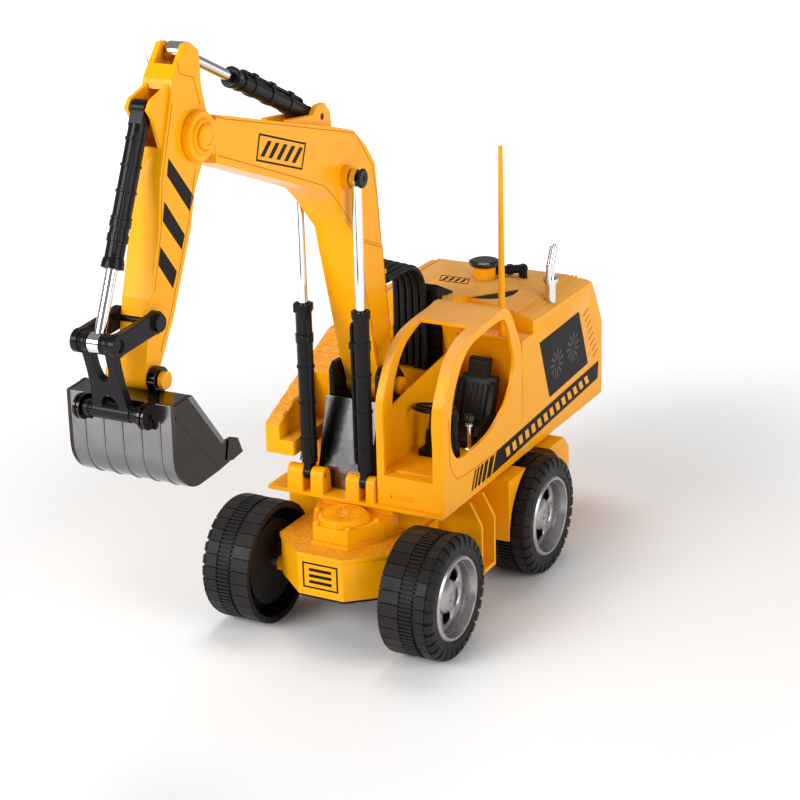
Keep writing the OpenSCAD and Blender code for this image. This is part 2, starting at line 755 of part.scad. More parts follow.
module stick_shell() {
    color(yellow) on_arm() difference() {
        union() {
            side(-stick_hw, stick_hw) {
                stick_profile();
                translate(p_buck) circle(r = 6);
            }
            both() side(4.7, 6.7) polygon([[187.8, 334], [204.5, 329], [207.5, 325], [204.5, 320.8],
                [199.1, 304]]);
        }
        difference() {
            side(-stick_hw + wall, stick_hw - wall) offset(delta = -wall) stick_profile();
            side(-20, 20) polygon([[200, 236], [230, 236], [230, 190], [190, 190], [190, 222]]);
            cross_pin(p_stick, -20, 20, 6);
        }
        // slot in the head for the cylinder rod, and the open front behind the bucket cylinder
        side(-5.2, 5.2) polygon([[150, 338], [158, 332], [176, 334], [186, 343], [178, 356], [150, 356]]);
        side(-4.6, 4.6) polygon([[186, 331], [214, 331], [214, 306], [193, 306]]);
        cross_pin(p_stick, -20, 20, 3 + fit);
        cross_pin(p_scyl1, -20, 20, pin_r);
        cross_pin(p_bcyl0, -20, 20, pin_r);
        cross_pin(p_rock, -20, 20, pin_r + fit);
        cross_pin(p_buck, -20, 20, 3);
    }
}

module stick_pins() {
    color(yellow) on_arm() {
        cross_pin(p_scyl1, -8, 8, pin_r);
        cross_pin(p_bcyl0, -6.7, 6.7, pin_r);
        cross_pin(p_buck, -13.6, 13.6, 3);
        both() cross_pin(p_buck, 13.3, 15.8, 4.2);
    }
}

// side outline of the bucket
module bucket_profile() {
    polygon([[236.4, 197], [222, 198], [196.9, 166.2], [189.8, 165.9], [182.7, 156.1], [203.3, 153.5],
        [221.5, 152.7], [230, 156], [235, 163], [237, 171.6], [236.4, 190.8]]);
}

module bucket_shell() {
    color(black) on_arm() difference() {
        union() {
            difference() {
                side(-bucket_hw, bucket_hw) bucket_profile();
                // open mouth facing the cab, between the top edge and the cutting edge
                side(-bucket_hw + wall, bucket_hw - wall) polygon([[234.2, 195], [222.5, 196], [210, 200],
                    [170, 166], [180, 157.9], [203.5, 155.6], [221, 154.8], [228.9, 157.8], [233, 164],
                    [234.8, 171.6], [234.2, 190.8]]);
            }
            for (y = [-24 : 12 : 24]) translate([180.5, y - 3, 154.6]) cube([6, 6, 2]);
            for (y = [-21 : 6 : 21]) side(y - 0.7, y + 0.7)
                polygon([[236, 189], [236.5, 171.6], [237.7, 171.6], [237.1, 189]]);
            both() {
                side(8.5, 12.8) {
                    translate(p_buck) circle(r = 6.2);
                    polygon([[214.5, 201], [226.5, 201], [234, 196], [220, 196]]);
                }
                side(16, 19.6) {
                    translate(p_bar) circle(r = 6);
                    polygon([[236, 197], [241, 198], [244, 190], [238, 184], [236, 184]]);
                }
            }
        }
        cross_pin(p_buck, -20, 20, 3 + fit);
        cross_pin(p_buck, -8.35, 8.35, 6.5);
        cross_pin(p_bar, -20, 20, 1.6);
    }
}

module bucket_pins() {
    color(black) on_arm() cross_pin(p_bar, -19.6, 19.6, 1.6);
}

module rocker_links() {
    color(black) on_arm() {
        both() difference() {
            side(8.4, 12) {
                translate(p_rock) circle(r = 5.5);
                translate(p_link) circle(r = 5.5);
                polygon([[219.3, 234.5], [249.3, 232.6], [248.7, 222.4], [218.7, 224.5]]);
            }
            translate([p_link[0], 11, p_link[1]]) rotate([-90, 0, 0]) cylinder(h = 2, r = 3);
        }
        both() cross_pin(p_rock, 11.9, 14, 4.2);
        cross_pin(p_rock, -9, 9, pin_r);
        cross_pin(p_link, -9, 9, pin_r);
    }
}

module bucket_link() {
    color(black) on_arm() difference() {
        union() {
            both() cross_pin(p_link, 3.6, 8.1, 5);
            both() along(p_link, p_bar) translate([-2.2, 3.8, 2]) cube([4.4, 4.2, 32]);
            along(p_link, p_bar) translate([-2.2, -9, 22]) cube([4.4, 18, 12]);
            cross_pin(p_bar, -15.6, 15.6, 4.1);
        }
        cross_pin(p_link, -10, 10, pin_r + fit);
        cross_pin(p_bar, -20, 20, 2.2);
        along(p_link, p_bar) translate([-5, -3.6, 26]) cube([10, 7.2, 5.4]);
    }
}

// ---- cylinders: drawn along +Z from the base pin ----

module barrel(len, eye_w, start) {
    difference() {
        union() {
            rotate([90, 0, 0]) translate([0, 0, -eye_w]) cylinder(h = 2 * eye_w, r = 3.9);
            translate([-3.2, -eye_w, 0]) cube([6.4, 2 * eye_w, start + 1]);
            translate([0, 0, start]) cylinder(h = len - start, r = barrel_r);
            translate([0, 0, len - 22]) cylinder(h = 3, r = barrel_r + 0.5);
            translate([0, 0, len - 3]) cylinder(h = 3, r = barrel_r + 0.4);
        }
        rotate([90, 0, 0]) cylinder(h = 20, r = pin_r + fit, center = true);
        translate([0, 0, start + 5]) cylinder(h = len, r = bore_r);
    }
}

// g is the length from the base pin to the rod eye; the piston end sits at z = z0
module rod(g, z0, eye_w) {
    difference() {
        union() {
            translate([0, 0, z0]) cylinder(h = g - z0 - 3.9, r = rod_r);
            translate([0, 0, z0]) cylinder(h = 4, r = bore_r - fit);
            translate([0, 0, g]) rotate([90, 0, 0]) translate([0, 0, -eye_w]) cylinder(h = 2 * eye_w, r = 4.9);
        }
        translate([0, 0, g]) rotate([90, 0, 0]) cylinder(h = 20, r = 3.55, center = true);
    }
}

module lift_barrel(s) {
    color(black) along(p_lift0, p_lift1, arm_y + s * lift_off) barrel(99, 2, 7);
}

module lift_rod(s) {
    color(steel) along(p_lift0, p_lift1, arm_y + s * lift_off) rod(dist(p_lift0, p_lift1), 36, 1.6);
}

module stick_barrel() {
    color(black) along(p_scyl0, p_scyl1, arm_y) barrel(79.6, 4.2, 8);
}

module stick_rod() {
    color(steel) along(p_scyl0, p_scyl1, arm_y) rod(dist(p_scyl0, p_scyl1), 32, 4.4);
}

module bucket_barrel() {
    color(black) along(p_bcyl0, p_link, arm_y) barrel(73.9, 3.6, 8);
}

module bucket_rod() {
    color(steel) along(p_bcyl0, p_link, arm_y) rod(dist(p_bcyl0, p_link), 36, 3);
}

chassis_shell();
chassis_cover();
cover_screws();
battery_door();
battery_pack();
drive_gearboxes();
front_axle();
nose_cap();
slew_ring();
slew_gearbox();
tyre(true, true);  // tyre_front_left
tyre(true, false);  // tyre_front_right
tyre(false, true);  // tyre_rear_left
tyre(false, false);  // tyre_rear_right
rim(true, true);  // rim_front_left
rim(true, false);  // rim_front_right
rim(false, true);  // rim_rear_left
rim(false, false);  // rim_rear_right
stub_axle(true);  // stub_axle_left
stub_axle(false);  // stub_axle_right
deck_plate();
engine_housing();
hood_inlay();
front_grille();
right_platform();
cab_frame();
cab_seat();
steering_column();
steering_wheel();
control_lever();
antenna();
exhaust_pipes();
intake_cap();
intake_elbow();
boom_bracket();
guard_plate();
lift_base_pins();
boom_foot_pin();
circuit_board();
housing_screws();
side_stickers();
hydraulic_hoses();
boom_shell();
boom_pins();
stick_shell();
stick_pins();
bucket_shell();
bucket_pins();
rocker_links();
bucket_link();
lift_barrel(1);  // lift_barrel_left
lift_barrel(-1);  // lift_barrel_right
lift_rod(1);  // lift_rod_left
lift_rod(-1);  // lift_rod_right
stick_barrel();
stick_rod();
bucket_barrel();
bucket_rod();
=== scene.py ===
import json
import math

import bmesh
import bpy
from mathutils import Matrix, Vector

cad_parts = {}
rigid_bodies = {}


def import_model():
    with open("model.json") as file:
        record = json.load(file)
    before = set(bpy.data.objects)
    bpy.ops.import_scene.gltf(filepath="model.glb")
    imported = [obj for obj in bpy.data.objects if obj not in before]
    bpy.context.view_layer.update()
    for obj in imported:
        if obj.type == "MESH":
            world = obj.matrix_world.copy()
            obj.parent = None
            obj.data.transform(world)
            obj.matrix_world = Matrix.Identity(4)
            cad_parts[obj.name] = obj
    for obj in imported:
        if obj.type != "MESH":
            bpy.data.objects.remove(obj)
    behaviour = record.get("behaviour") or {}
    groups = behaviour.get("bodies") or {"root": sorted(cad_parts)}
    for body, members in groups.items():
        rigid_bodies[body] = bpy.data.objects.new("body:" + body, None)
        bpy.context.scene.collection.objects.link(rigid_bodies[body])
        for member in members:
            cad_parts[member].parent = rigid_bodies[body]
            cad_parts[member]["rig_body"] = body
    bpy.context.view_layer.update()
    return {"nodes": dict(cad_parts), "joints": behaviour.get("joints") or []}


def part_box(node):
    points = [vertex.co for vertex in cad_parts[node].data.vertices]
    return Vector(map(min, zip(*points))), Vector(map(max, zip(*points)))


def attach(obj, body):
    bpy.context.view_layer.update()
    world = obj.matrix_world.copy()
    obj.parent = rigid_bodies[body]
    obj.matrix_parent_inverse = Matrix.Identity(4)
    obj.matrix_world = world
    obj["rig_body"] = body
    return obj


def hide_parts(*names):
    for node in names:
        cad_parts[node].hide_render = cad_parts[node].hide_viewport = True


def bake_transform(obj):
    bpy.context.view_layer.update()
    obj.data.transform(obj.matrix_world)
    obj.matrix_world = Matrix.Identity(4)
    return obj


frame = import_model()
MM = 0.001


# ---- dimensions

def edges(node):
    """Lowest and highest corner of a CAD node, in millimetres."""
    low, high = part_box(node)
    return low / MM, high / MM


def joint_point(name):
    """A joint's place in the side view, (x, z) in millimetres."""
    found = next(j for j in frame["joints"] if j["name"] == name)
    return found["pos_m"][0] / MM, found["pos_m"][2] / MM


TYRE_LOW, TYRE_HIGH = edges("tyre_front_left")
TYRE_R = (TYRE_HIGH.z - TYRE_LOW.z) / 2
TYRE_IN, TYRE_W = TYRE_LOW.y, TYRE_HIGH.y - TYRE_LOW.y
AXLE_X = (TYRE_HIGH.x + TYRE_LOW.x) / 2
RIM_R = (edges("rim_front_left")[1].z - edges("rim_front_left")[0].z) / 2
DECK_HW = edges("engine_housing")[1].y
PINS_LOW, PINS_HIGH = edges("boom_pins")
ARM_Y = (PINS_LOW.y + PINS_HIGH.y) / 2
PINS_HALF = (PINS_HIGH.y - PINS_LOW.y) / 2
BOOM_HW = 11.4
STICK_HW = (edges("stick_shell")[1].y - edges("stick_shell")[0].y) / 2
STICK_PIVOT = joint_point("stick_swing")
BUCKET_PIVOT = joint_point("bucket_curl")
LIFT_BASE = joint_point("lift_barrel_l_tilt")
STICK_CYL_BASE = joint_point("stick_cylinder_tilt")
BUCKET_CYL_BASE = joint_point("bucket_cylinder_tilt")
LINK_TOP = joint_point("link_swing")
LIFT_TOP = (41.3, 256)
STICK_CYL_TOP = (171, 344.5)
LINK_BAR = (241, 192)
LIFT_OFF = 17.8
BARREL_R = 4.5


# ---- materials

def shader(name):
    """A new node material, its node tree and its surface shader."""
    mat = bpy.data.materials.new(name)
    mat.use_nodes = True
    tree = mat.node_tree
    return mat, tree, tree.nodes["Principled BSDF"]


def texture_coords(tree):
    """Object coordinates, in metres."""
    return tree.nodes.new("ShaderNodeTexCoord").outputs["Object"]


def noise(tree, vector, scale, detail=3.0):
    """A cloudy texture value, 0..1."""
    node = tree.nodes.new("ShaderNodeTexNoise")
    node.inputs["Scale"].default_value = scale
    node.inputs["Detail"].default_value = detail
    tree.links.new(vector, node.inputs["Vector"])
    return node.outputs["Fac"]


def spread(tree, value, low, high):
    """Maps the middle of a 0..1 texture value to low..high."""
    node = tree.nodes.new("ShaderNodeMapRange")
    node.inputs["From Min"].default_value = 0.3
    node.inputs["From Max"].default_value = 0.7
    node.inputs["To Min"].default_value = low
    node.inputs["To Max"].default_value = high
    tree.links.new(value, node.inputs["Value"])
    return node.outputs["Result"]


def tint(tree, factor, dark, light):
    """A colour between dark and light."""
    node = tree.nodes.new("ShaderNodeMix")
    node.data_type = "RGBA"
    node.inputs["A"].default_value = (*dark, 1)
    node.inputs["B"].default_value = (*light, 1)
    tree.links.new(factor, node.inputs["Factor"])
    return node.outputs["Result"]


def bump(tree, height, strength, distance, under=None):
    """Surface relief from a height value, laid over the normal given as under."""
    node = tree.nodes.new("ShaderNodeBump")
    node.inputs["Strength"].default_value = strength
    node.inputs["Distance"].default_value = distance
    tree.links.new(height, node.inputs["Height"])
    if under is not None:
        tree.links.new(under, node.inputs["Normal"])
    return node.outputs["Normal"]


def soft_edges(tree, radius):
    """Rounds the shading of sharp moulded edges."""
    node = tree.nodes.new("ShaderNodeBevel")
    node.samples = 4
    node.inputs["Radius"].default_value = radius
    return node.outputs["Normal"]


def plastic(name, dark, light, rough, grain=0.0, edge=0.00035, swirl=0.03, gloss=0.5):
    """Moulded plastic: faint flow marks in the colour and gloss, and a fine skin on the surface."""
    mat, tree, out = shader(name)
    at = texture_coords(tree)
    tree.links.new(tint(tree, noise(tree, at, 14, 4), dark, light), out.inputs["Base Color"])
    tree.links.new(spread(tree, noise(tree, at, 60, 5), rough - swirl, rough + swirl),
                   out.inputs["Roughness"])
    skin = bump(tree, noise(tree, at, 900, 2), 0.12 + grain, 0.0001, soft_edges(tree, edge))
    tree.links.new(skin, out.inputs["Normal"])
    out.inputs["IOR"].default_value = 1.5
    out.inputs["Specular IOR Level"].default_value = gloss
    return mat


def stippled(name, dark, light, rough):
    """The pebbled non-slip skin on the walkway and on the top of the carrier."""
    mat, tree, out = shader(name)
    at = texture_coords(tree)
    cells = tree.nodes.new("ShaderNodeTexVoronoi")
    cells.inputs["Scale"].default_value = 620
    tree.links.new(at, cells.inputs["Vector"])
    # The colour runs from the light yellow on the pebbles to the dark one in the hollows between them. The
    # same cells drive the bump, so this is painted shade in the hollows.
    tree.links.new(tint(tree, cells.outputs["Distance"], light, dark), out.inputs["Base Color"])
    tree.links.new(bump(tree, cells.outputs["Distance"], 0.6, -0.0006), out.inputs["Normal"])
    tree.links.new(spread(tree, noise(tree, at, 80), rough - 0.05, rough + 0.05),
                   out.inputs["Roughness"])
    return mat


def metal(name, dark, light, rough, scratch=0.05):
    """Plated or painted metal look with faint scratches."""
    mat, tree, out = shader(name)
    at = texture_coords(tree)
    tree.links.new(tint(tree, noise(tree, at, 120), dark, light), out.inputs["Base Color"])
    tree.links.new(spread(tree, noise(tree, at, 400, 6), rough, rough + scratch),
                   out.inputs["Roughness"])
    tree.links.new(bump(tree, noise(tree, at, 1500), 0.05, 0.0001), out.inputs["Normal"])
    out.inputs["Metallic"].default_value = 1.0
    return mat


def rubber(name, dark, light):
    """Soft black rubber with a dull, fine-grained skin."""
    mat, tree, out = shader(name)
    at = texture_coords(tree)
    tree.links.new(tint(tree, noise(tree, at, 50, 5), dark, light), out.inputs["Base Color"])
    tree.links.new(spread(tree, noise(tree, at, 90, 4), 0.42, 0.6), out.inputs["Roughness"])
    tree.links.new(bump(tree, noise(tree, at, 1400), 0.3, 0.0002, soft_edges(tree, 0.0003)),
                   out.inputs["Normal"])
    out.inputs["Specular IOR Level"].default_value = 0.25
    return mat


YELLOW = plastic("yellow_abs", (0.93, 0.375, 0.002), (0.97, 0.405, 0.003), 0.22, gloss=0.14)
# A rougher, grainier finish for faces that look up. Its darker tan colour is painted shade: the dimmer light
# on the hood top and cab roof.
FROSTED_TOP_SHADE = plastic("frosted_yellow_top_shade", (0.76, 0.33, 0.035), (0.82, 0.37, 0.050), 0.5, grain=0.25, gloss=0.6)
PEBBLED = stippled("pebbled_yellow_hollow_shade", (0.66, 0.23, 0.003), (0.93, 0.40, 0.008), 0.36)
# A darker amber for fine moulded lines and louvres. The darkness stands for the shade inside the grooves:
# painted shade.
GROOVE_SHADE_AMBER = plastic("groove_shade_amber", (0.50, 0.16, 0.002), (0.58, 0.20, 0.003), 0.5, gloss=0.2)
BLACK = plastic("black_abs", (0.006, 0.005, 0.005), (0.012, 0.010, 0.010), 0.20, gloss=0.13)
GLOSSY_BLACK = plastic("glossy_black_abs", (0.006, 0.005, 0.005), (0.010, 0.009, 0.009), 0.10, gloss=0.4)
SATIN_BLACK = plastic("satin_black_abs", (0.007, 0.006, 0.006), (0.014, 0.012, 0.012), 0.30,
                      grain=0.2, gloss=0.14)
STICKER = plastic("sticker_black", (0.012, 0.009, 0.009), (0.022, 0.017, 0.016), 0.42,
                  edge=0.0001, gloss=0.05)
SMUDGE = plastic("sticker_grey", (0.030, 0.026, 0.025), (0.055, 0.048, 0.046), 0.5,
                 edge=0.0001, swirl=0.1)
GUNMETAL = metal("gunmetal_black", (0.15, 0.145, 0.15), (0.22, 0.215, 0.22), 0.16, 0.06)
POLISHED_BLACK = metal("polished_black", (0.035, 0.028, 0.025), (0.055, 0.044, 0.040), 0.10, 0.05)
RUBBER = rubber("tyre_rubber", (0.007, 0.006, 0.005), (0.016, 0.013, 0.012))
HOSE = rubber("hose_rubber", (0.006, 0.006, 0.006), (0.012, 0.012, 0.012))
CHROME = metal("chrome_plate", (0.62, 0.62, 0.63), (0.72, 0.72, 0.73), 0.05)
STEEL = metal("plain_steel", (0.45, 0.45, 0.46), (0.60, 0.60, 0.61), 0.28, 0.12)
SILVER = metal("silver_paint", (0.36, 0.345, 0.345), (0.50, 0.485, 0.485), 0.27, 0.10)
CASE = plastic("nylon_case", (0.55, 0.54, 0.50), (0.66, 0.65, 0.60), 0.5)
BOARD = plastic("board_green", (0.02, 0.12, 0.05), (0.03, 0.18, 0.07), 0.45)
CELLS = plastic("cell_wrap", (0.02, 0.10, 0.05), (0.03, 0.14, 0.06), 0.3)


# ---- mesh builders

class Shape:
    """Collects closed solids, in millimetres, and turns them into one piece."""

    def __init__(self):
        self.bm = bmesh.new()

    def skinned(self, rings):
        """A closed solid through a row of rings with the same number of points."""
        verts = [[self.bm.verts.new(Vector(p) * MM) for p in ring] for ring in rings]
        n = len(rings[0])
        for a, b in zip(verts, verts[1:]):
            for i in range(n):
                j = (i + 1) % n
                self.bm.faces.new((a[i], a[j], b[j], b[i]))
        self.bm.faces.new(list(reversed(verts[0])))
        self.bm.faces.new(verts[-1])
        return self

    def slab(self, outline, y0, y1):
        """Side view outline (x, z) between y0 and y1."""
        return self.skinned([[(x, y, z) for x, z in outline] for y in (y0, y1)])

    def plate(self, outline, z0, z1):
        """Plan outline (x, y) between z0 and z1."""
        return self.skinned([[(x, y, z) for x, y in outline] for z in (z0, z1)])

    def block(self, low, high):
        """A box between two corners."""
        (x0, y0, z0), (x1, y1, z1) = low, high
        return self.plate([(x0, y0), (x1, y0), (x1, y1), (x0, y1)], z0, z1)

    def turned(self, profile, origin, axis, steps=48):
        """Profile of (radius, height) points turned about an axis through origin."""
        frame_m = Vector(axis).normalized().to_track_quat("Z", "Y").to_matrix()
        rings = []
        for r, h in profile:
            rings.append([Vector(origin) + frame_m @ Vector((
                max(r, 0.01) * math.cos(2 * math.pi * i / steps),
                max(r, 0.01) * math.sin(2 * math.pi * i / steps), h)) for i in range(steps)])
        return self.skinned(rings)

    def rod(self, a, b, r):
        """A round rod from a to b."""
        a, b = Vector(a), Vector(b)
        return self.turned([(r, 0), (r, (b - a).length)], a, b - a, 32)

    def tube(self, points, r, steps=16):
        """A round tube along points; r may be one radius or one for each point."""
        points = [Vector(p) for p in points]
        radii = r if isinstance(r, (list, tuple)) else [r] * len(points)
        rings, side_v = [], None
        for i, p in enumerate(points):
            ahead = (points[min(i + 1, len(points) - 1)] - points[max(i - 1, 0)]).normalized()
            if side_v is None:
                side_v = ahead.orthogonal()
            side_v = (side_v - ahead * side_v.dot(ahead)).normalized()
            up_v = ahead.cross(side_v)
            rings.append([p + radii[i] * (math.cos(a) * side_v + math.sin(a) * up_v)
                          for a in (2 * math.pi * k / steps for k in range(steps))])
        return self.skinned(rings)

    def ring(self, centre, axis, r_big, r_small, steps, around):
        """A torus."""
        turn = Vector(axis).normalized().to_track_quat("Z", "Y").to_matrix()
        outline = [(r_big + r_small * math.cos(b), r_small * math.sin(b)) for b in
                   (2 * math.pi * k / around for k in range(around))]

        def at(r, s, degrees):
            a = math.radians(degrees)
            return Vector(centre) + turn @ Vector((r * math.cos(a), r * math.sin(a), s))

        return self.swept(outline, at, steps)

    def swept(self, outline, at, steps):
        """Turns a closed outline of (radius, across) all the way round with at(r, s, degrees)."""
        rings = [[at(r, s, 360 * i / steps) for r, s in outline] for i in range(steps)]
        verts = [[self.bm.verts.new(Vector(p) * MM) for p in ring] for ring in rings]
        n = len(outline)
        for i in range(steps):
            a, b = verts[i], verts[(i + 1) % steps]
            for k in range(n):
                self.bm.faces.new((a[k], a[(k + 1) % n], b[(k + 1) % n], b[k]))
        return self

    def wedge(self, outline, at, turn0, turn1):
        """The same outline over a short turn, closed at both ends."""
        return self.skinned([[at(r, s, turn) for r, s in outline] for turn in (turn0, turn1)])

    def bead(self, centre, r):
        """A small ball."""
        bmesh.ops.create_icosphere(self.bm, subdivisions=1, radius=r * MM,
                                   matrix=Matrix.Translation(Vector(centre) * MM))
        return self

    def close_pairs(self, half):
        """Joins the open edges of a sheet to the same edges of its copy half the vertices later."""
        self.bm.verts.ensure_lookup_table()
        self.bm.verts.index_update()
        verts = self.bm.verts[:]
        for edge in [e for e in self.bm.edges if e.is_boundary]:
            a, b = (v.index for v in edge.verts)
            if a < half and b < half:
                self.bm.faces.new((verts[a], verts[b], verts[b + half], verts[a + half]))
        return self

    def mirrored(self, y=0.0):
        """Adds the mirror image on the other side of a plane at this y."""
        geometry = bmesh.ops.duplicate(self.bm, geom=self.bm.verts[:] + self.bm.faces[:])["geom"]
        for v in (g for g in geometry if isinstance(g, bmesh.types.BMVert)):
            v.co.y = 2 * y * MM - v.co.y
        bmesh.ops.reverse_faces(self.bm, faces=[g for g in geometry if isinstance(g, bmesh.types.BMFace)])
        return self

    def place(self, name, body, mat, slot_name, bevel=0.3, segments=2, angle=32, replaces=()):
        """Makes the object. See settle for the arguments."""
        bmesh.ops.recalc_face_normals(self.bm, faces=self.bm.faces)
        mesh = bpy.data.meshes.new(name)
        self.bm.to_mesh(mesh)
        self.bm.free()
        return settle(mesh, name, body, mat, bevel, segments, angle, replaces)


def settle(mesh, name, body, mat, bevel, segments, angle, replaces):
    """Puts a mesh in the scene as a piece of a body, with its finish and edge rounding (bevel, in
    millimetres, at edges sharper than angle degrees). body is None for a piece that is put on no body."""
    obj = bpy.data.objects.new(name, mesh)
    bpy.context.scene.collection.objects.link(obj)
    for one in mat if isinstance(mat, tuple) else (mat,):
        mesh.materials.append(one)
    for poly in mesh.polygons:
        poly.use_smooth = True
    mesh.set_sharp_from_angle(angle=math.radians(angle))
    if bevel:
        mod = obj.modifiers.new("edges", "BEVEL")
        mod.width = bevel * MM
        mod.segments = segments
        mod.limit_method = "ANGLE"
        mod.angle_limit = math.radians(angle)
        mod.harden_normals = True
        mod.miter_outer = "MITER_ARC"
    if body:
        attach(obj, body)
    if replaces:
        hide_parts(*replaces)
    return obj


BODY_OF = {node: obj["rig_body"] for node, obj in frame["nodes"].items()}


MOULD_ANGLE = 30      # edges of a CAD node sharper than this are rounded
FLAT_ANGLE = 0.6      # neighbouring faces within this angle count as one flat face
UPWARD = 0.55         # least upward part of the normal of a face with the top finish
LEAST_TOP = 2         # smallest face, in square millimetres, that gets the top finish
ANY_HEIGHT = (-1, 999)


def refine(node, mat, bevel=0.35, segments=2, top=None, above=ANY_HEIGHT):
    """A CAD node redrawn with its flat faces whole and its edges rounded as a mould leaves them.
    top is a second finish for the faces that look up, at heights within above. The frosted top finish carries
    painted shade on those faces, and the pebbled one carries painted shade in its hollows."""
    bm = bmesh.new()
    bm.from_mesh(frame["nodes"][node].data)
    bmesh.ops.remove_doubles(bm, verts=bm.verts, dist=1e-6)
    bmesh.ops.dissolve_limit(bm, angle_limit=math.radians(FLAT_ANGLE), verts=bm.verts, edges=bm.edges)
    if top:
        for f in bm.faces:
            if (f.normal.z > UPWARD and f.calc_area() > LEAST_TOP * MM * MM
                    and above[0] < f.calc_center_median().z / MM < above[1]):
                f.material_index = 1
    mesh = bpy.data.meshes.new(node + "_body")
    bm.to_mesh(mesh)
    bm.free()
    return settle(mesh, node + "_body", BODY_OF[node], (mat, top) if top else mat, bevel,
                  segments, MOULD_ANGLE, (node,))


def dress(node, mat):
    """Keeps a CAD node as it is and gives it a finish."""
    data = frame["nodes"][node].data
    data.materials.clear()
    data.materials.append(mat)


# ---- wheels

LUGS = 30
RIBS = 90
RIB_TURN = 2.2
RING_BEADS = 60
RIM_WINDOWS = 7


def wheel_point(front, side, r, turn, across):
    """A point of a wheel: radius, angle in degrees and distance outwards from the tyre's inner face."""
    a = math.radians(turn)
    return ((AXLE_X if front else -AXLE_X) + r * math.cos(a), side * (TYRE_IN + across),
            TYRE_R + r * math.sin(a))


def tyre(name, front, side):
    """Carcass, two rows of tread lugs, shoulder lugs and a band of fine ribs, with a black inner disc."""
    shape = Shape()
    at = lambda r, s, a: wheel_point(front, side, r, a, s)
    top = TYRE_R
    skin = top - 1.5
    w = TYRE_W
    carcass = [(skin, 0.4), (skin, w * 0.90), (skin - 1.3, w * 0.955), (skin - 4.0, w * 0.985),
               (RIM_R + 1.2, w * 0.99), (RIM_R, w * 0.97), (RIM_R, w * 0.45), (skin - 2.6, w * 0.40),
               (skin - 2.2, 0.4)]
    shape.swept(carcass, at, 120)
    # the groove lies outboard of the ribs on the left and inboard of them on the right
    inner_end, outer_start = (0.40, 0.70) if side > 0 else (0.35, 0.65)
    bands = [(0.0, inner_end), (0.40, 0.65), (outer_start, 0.89)]
    inner, ribbed, outer = [(a * w, b * w) for a, b in bands]

    def lug(turn0, turn1, outline):
        shape.wedge(outline, at, turn0, turn1)

    pitch = 360 / LUGS
    for i in range(LUGS):
        t = i * pitch
        for s0, s1 in (inner, outer):
            lug(t, t + pitch * 0.94,
                  [(skin - 0.6, s0), (top, s0 + 0.15), (top, s1 - 0.1), (skin - 0.6, s1)])
        lug(t + pitch * 0.1, t + pitch * 0.80, [
            (skin - 1.0, w * 0.895), (top - 0.2, w * 0.895), (top - 0.7, w * 0.945), (top - 2.6, w * 0.99),
            (top - 6.0, w), (top - 6.4, w * 0.97), (skin - 3, w * 0.94)])
    for i in range(RIBS):
        t = i * 360 / RIBS
        lug(t, t + RIB_TURN, [(skin - 0.4, ribbed[0] + 0.1), (top - 0.25, ribbed[0] + 0.1),
                              (top - 0.25, ribbed[1] - 0.1), (skin - 0.4, ribbed[1] - 0.1)])
    # black disc that closes the rim on the side of the body
    shape.swept([(3, 3.9), (7, 3.9), (8, 4.4), (RIM_R + 0.4, 4.2), (RIM_R + 0.4, 5), (3, 5)], at, 64)
    wheel = "wheel_" + name
    shape.place("tread_" + name, wheel, RUBBER, "tyre_rubber", bevel=0.14, segments=1, angle=35,
                replaces=("tyre_" + name,))


def rim(name, front, side):
    """Deep dished rim: flange with a beaded ring, a web with rounded windows and a broad hub."""
    at = lambda r, s, a: wheel_point(front, side, r, a, s)
    w = TYRE_W
    ring = Shape()
    ring.swept([(RIM_R - 0.1, 5), (RIM_R - 0.1, w * 0.97), (RIM_R - 1.2, w * 1.005), (RIM_R - 2.4, w * 1.0),
                (RIM_R - 2.9, w * 0.95), (RIM_R - 3.7, w * 0.90), (RIM_R - 4.3, w * 0.75),
                (RIM_R - 2.2, w * 0.70), (RIM_R - 1.6, 5)], at, 96)
    hub_face = w * 0.86
    ring.swept([(0.3, w * 0.2), (6.3, w * 0.2), (6.5, w * 0.62), (10.4, w * 0.66), (9.2, hub_face - 2.2),
                (6.6, hub_face - 0.3), (2.6, hub_face), (2.2, hub_face - 0.8), (0.3, hub_face - 0.9)], at, 64)
    for i in range(RING_BEADS):
        ring.bead(at(RIM_R - 4.0, w * 0.885, i * 360 / RING_BEADS), 0.55)
    wheel = "wheel_" + name
    ring.place("rim_ring_" + name, wheel, SILVER, "silver_plastic", bevel=0.2, angle=35,
               replaces=("rim_" + name,))

    web = Shape()
    step = 360 / RIM_WINDOWS
    columns = [i * step + t for i in range(RIM_WINDOWS) for t in (-0.32 * step, 0, 0.32 * step, 0.5 * step)]
    rows = [(9.6, w * 0.70), (11.2, w * 0.69), (17.6, w * 0.73), (RIM_R - 4.0, w * 0.78)]
    web_thick = 1.7
    for face in (0, 1):
        grid = [[web.bm.verts.new(Vector(at(r, s - face * web_thick, a)) * MM) for a in columns]
                for r, s in rows]
        n = len(columns)
        for k in range(len(rows) - 1):
            for i in range(n):
                if k == 1 and i % 4 in (0, 1):
                    continue
                quad = (grid[k][i], grid[k][(i + 1) % n], grid[k + 1][(i + 1) % n], grid[k + 1][i])
                web.bm.faces.new(quad if face else tuple(reversed(quad)))
    web.close_pairs(len(rows) * len(columns))
    obj = web.place("rim_web_" + name, wheel, SILVER, "silver_plastic", bevel=0)
    smooth = obj.modifiers.new("rounding", "SUBSURF")
    smooth.levels = smooth.render_levels = 2


for name, front, side in (("front_left", True, 1), ("front_right", True, -1),
                          ("rear_left", False, 1), ("rear_right", False, -1)):
    tyre(name, front, side)
    rim(name, front, side)


# ---- pieces kept close to the CAD

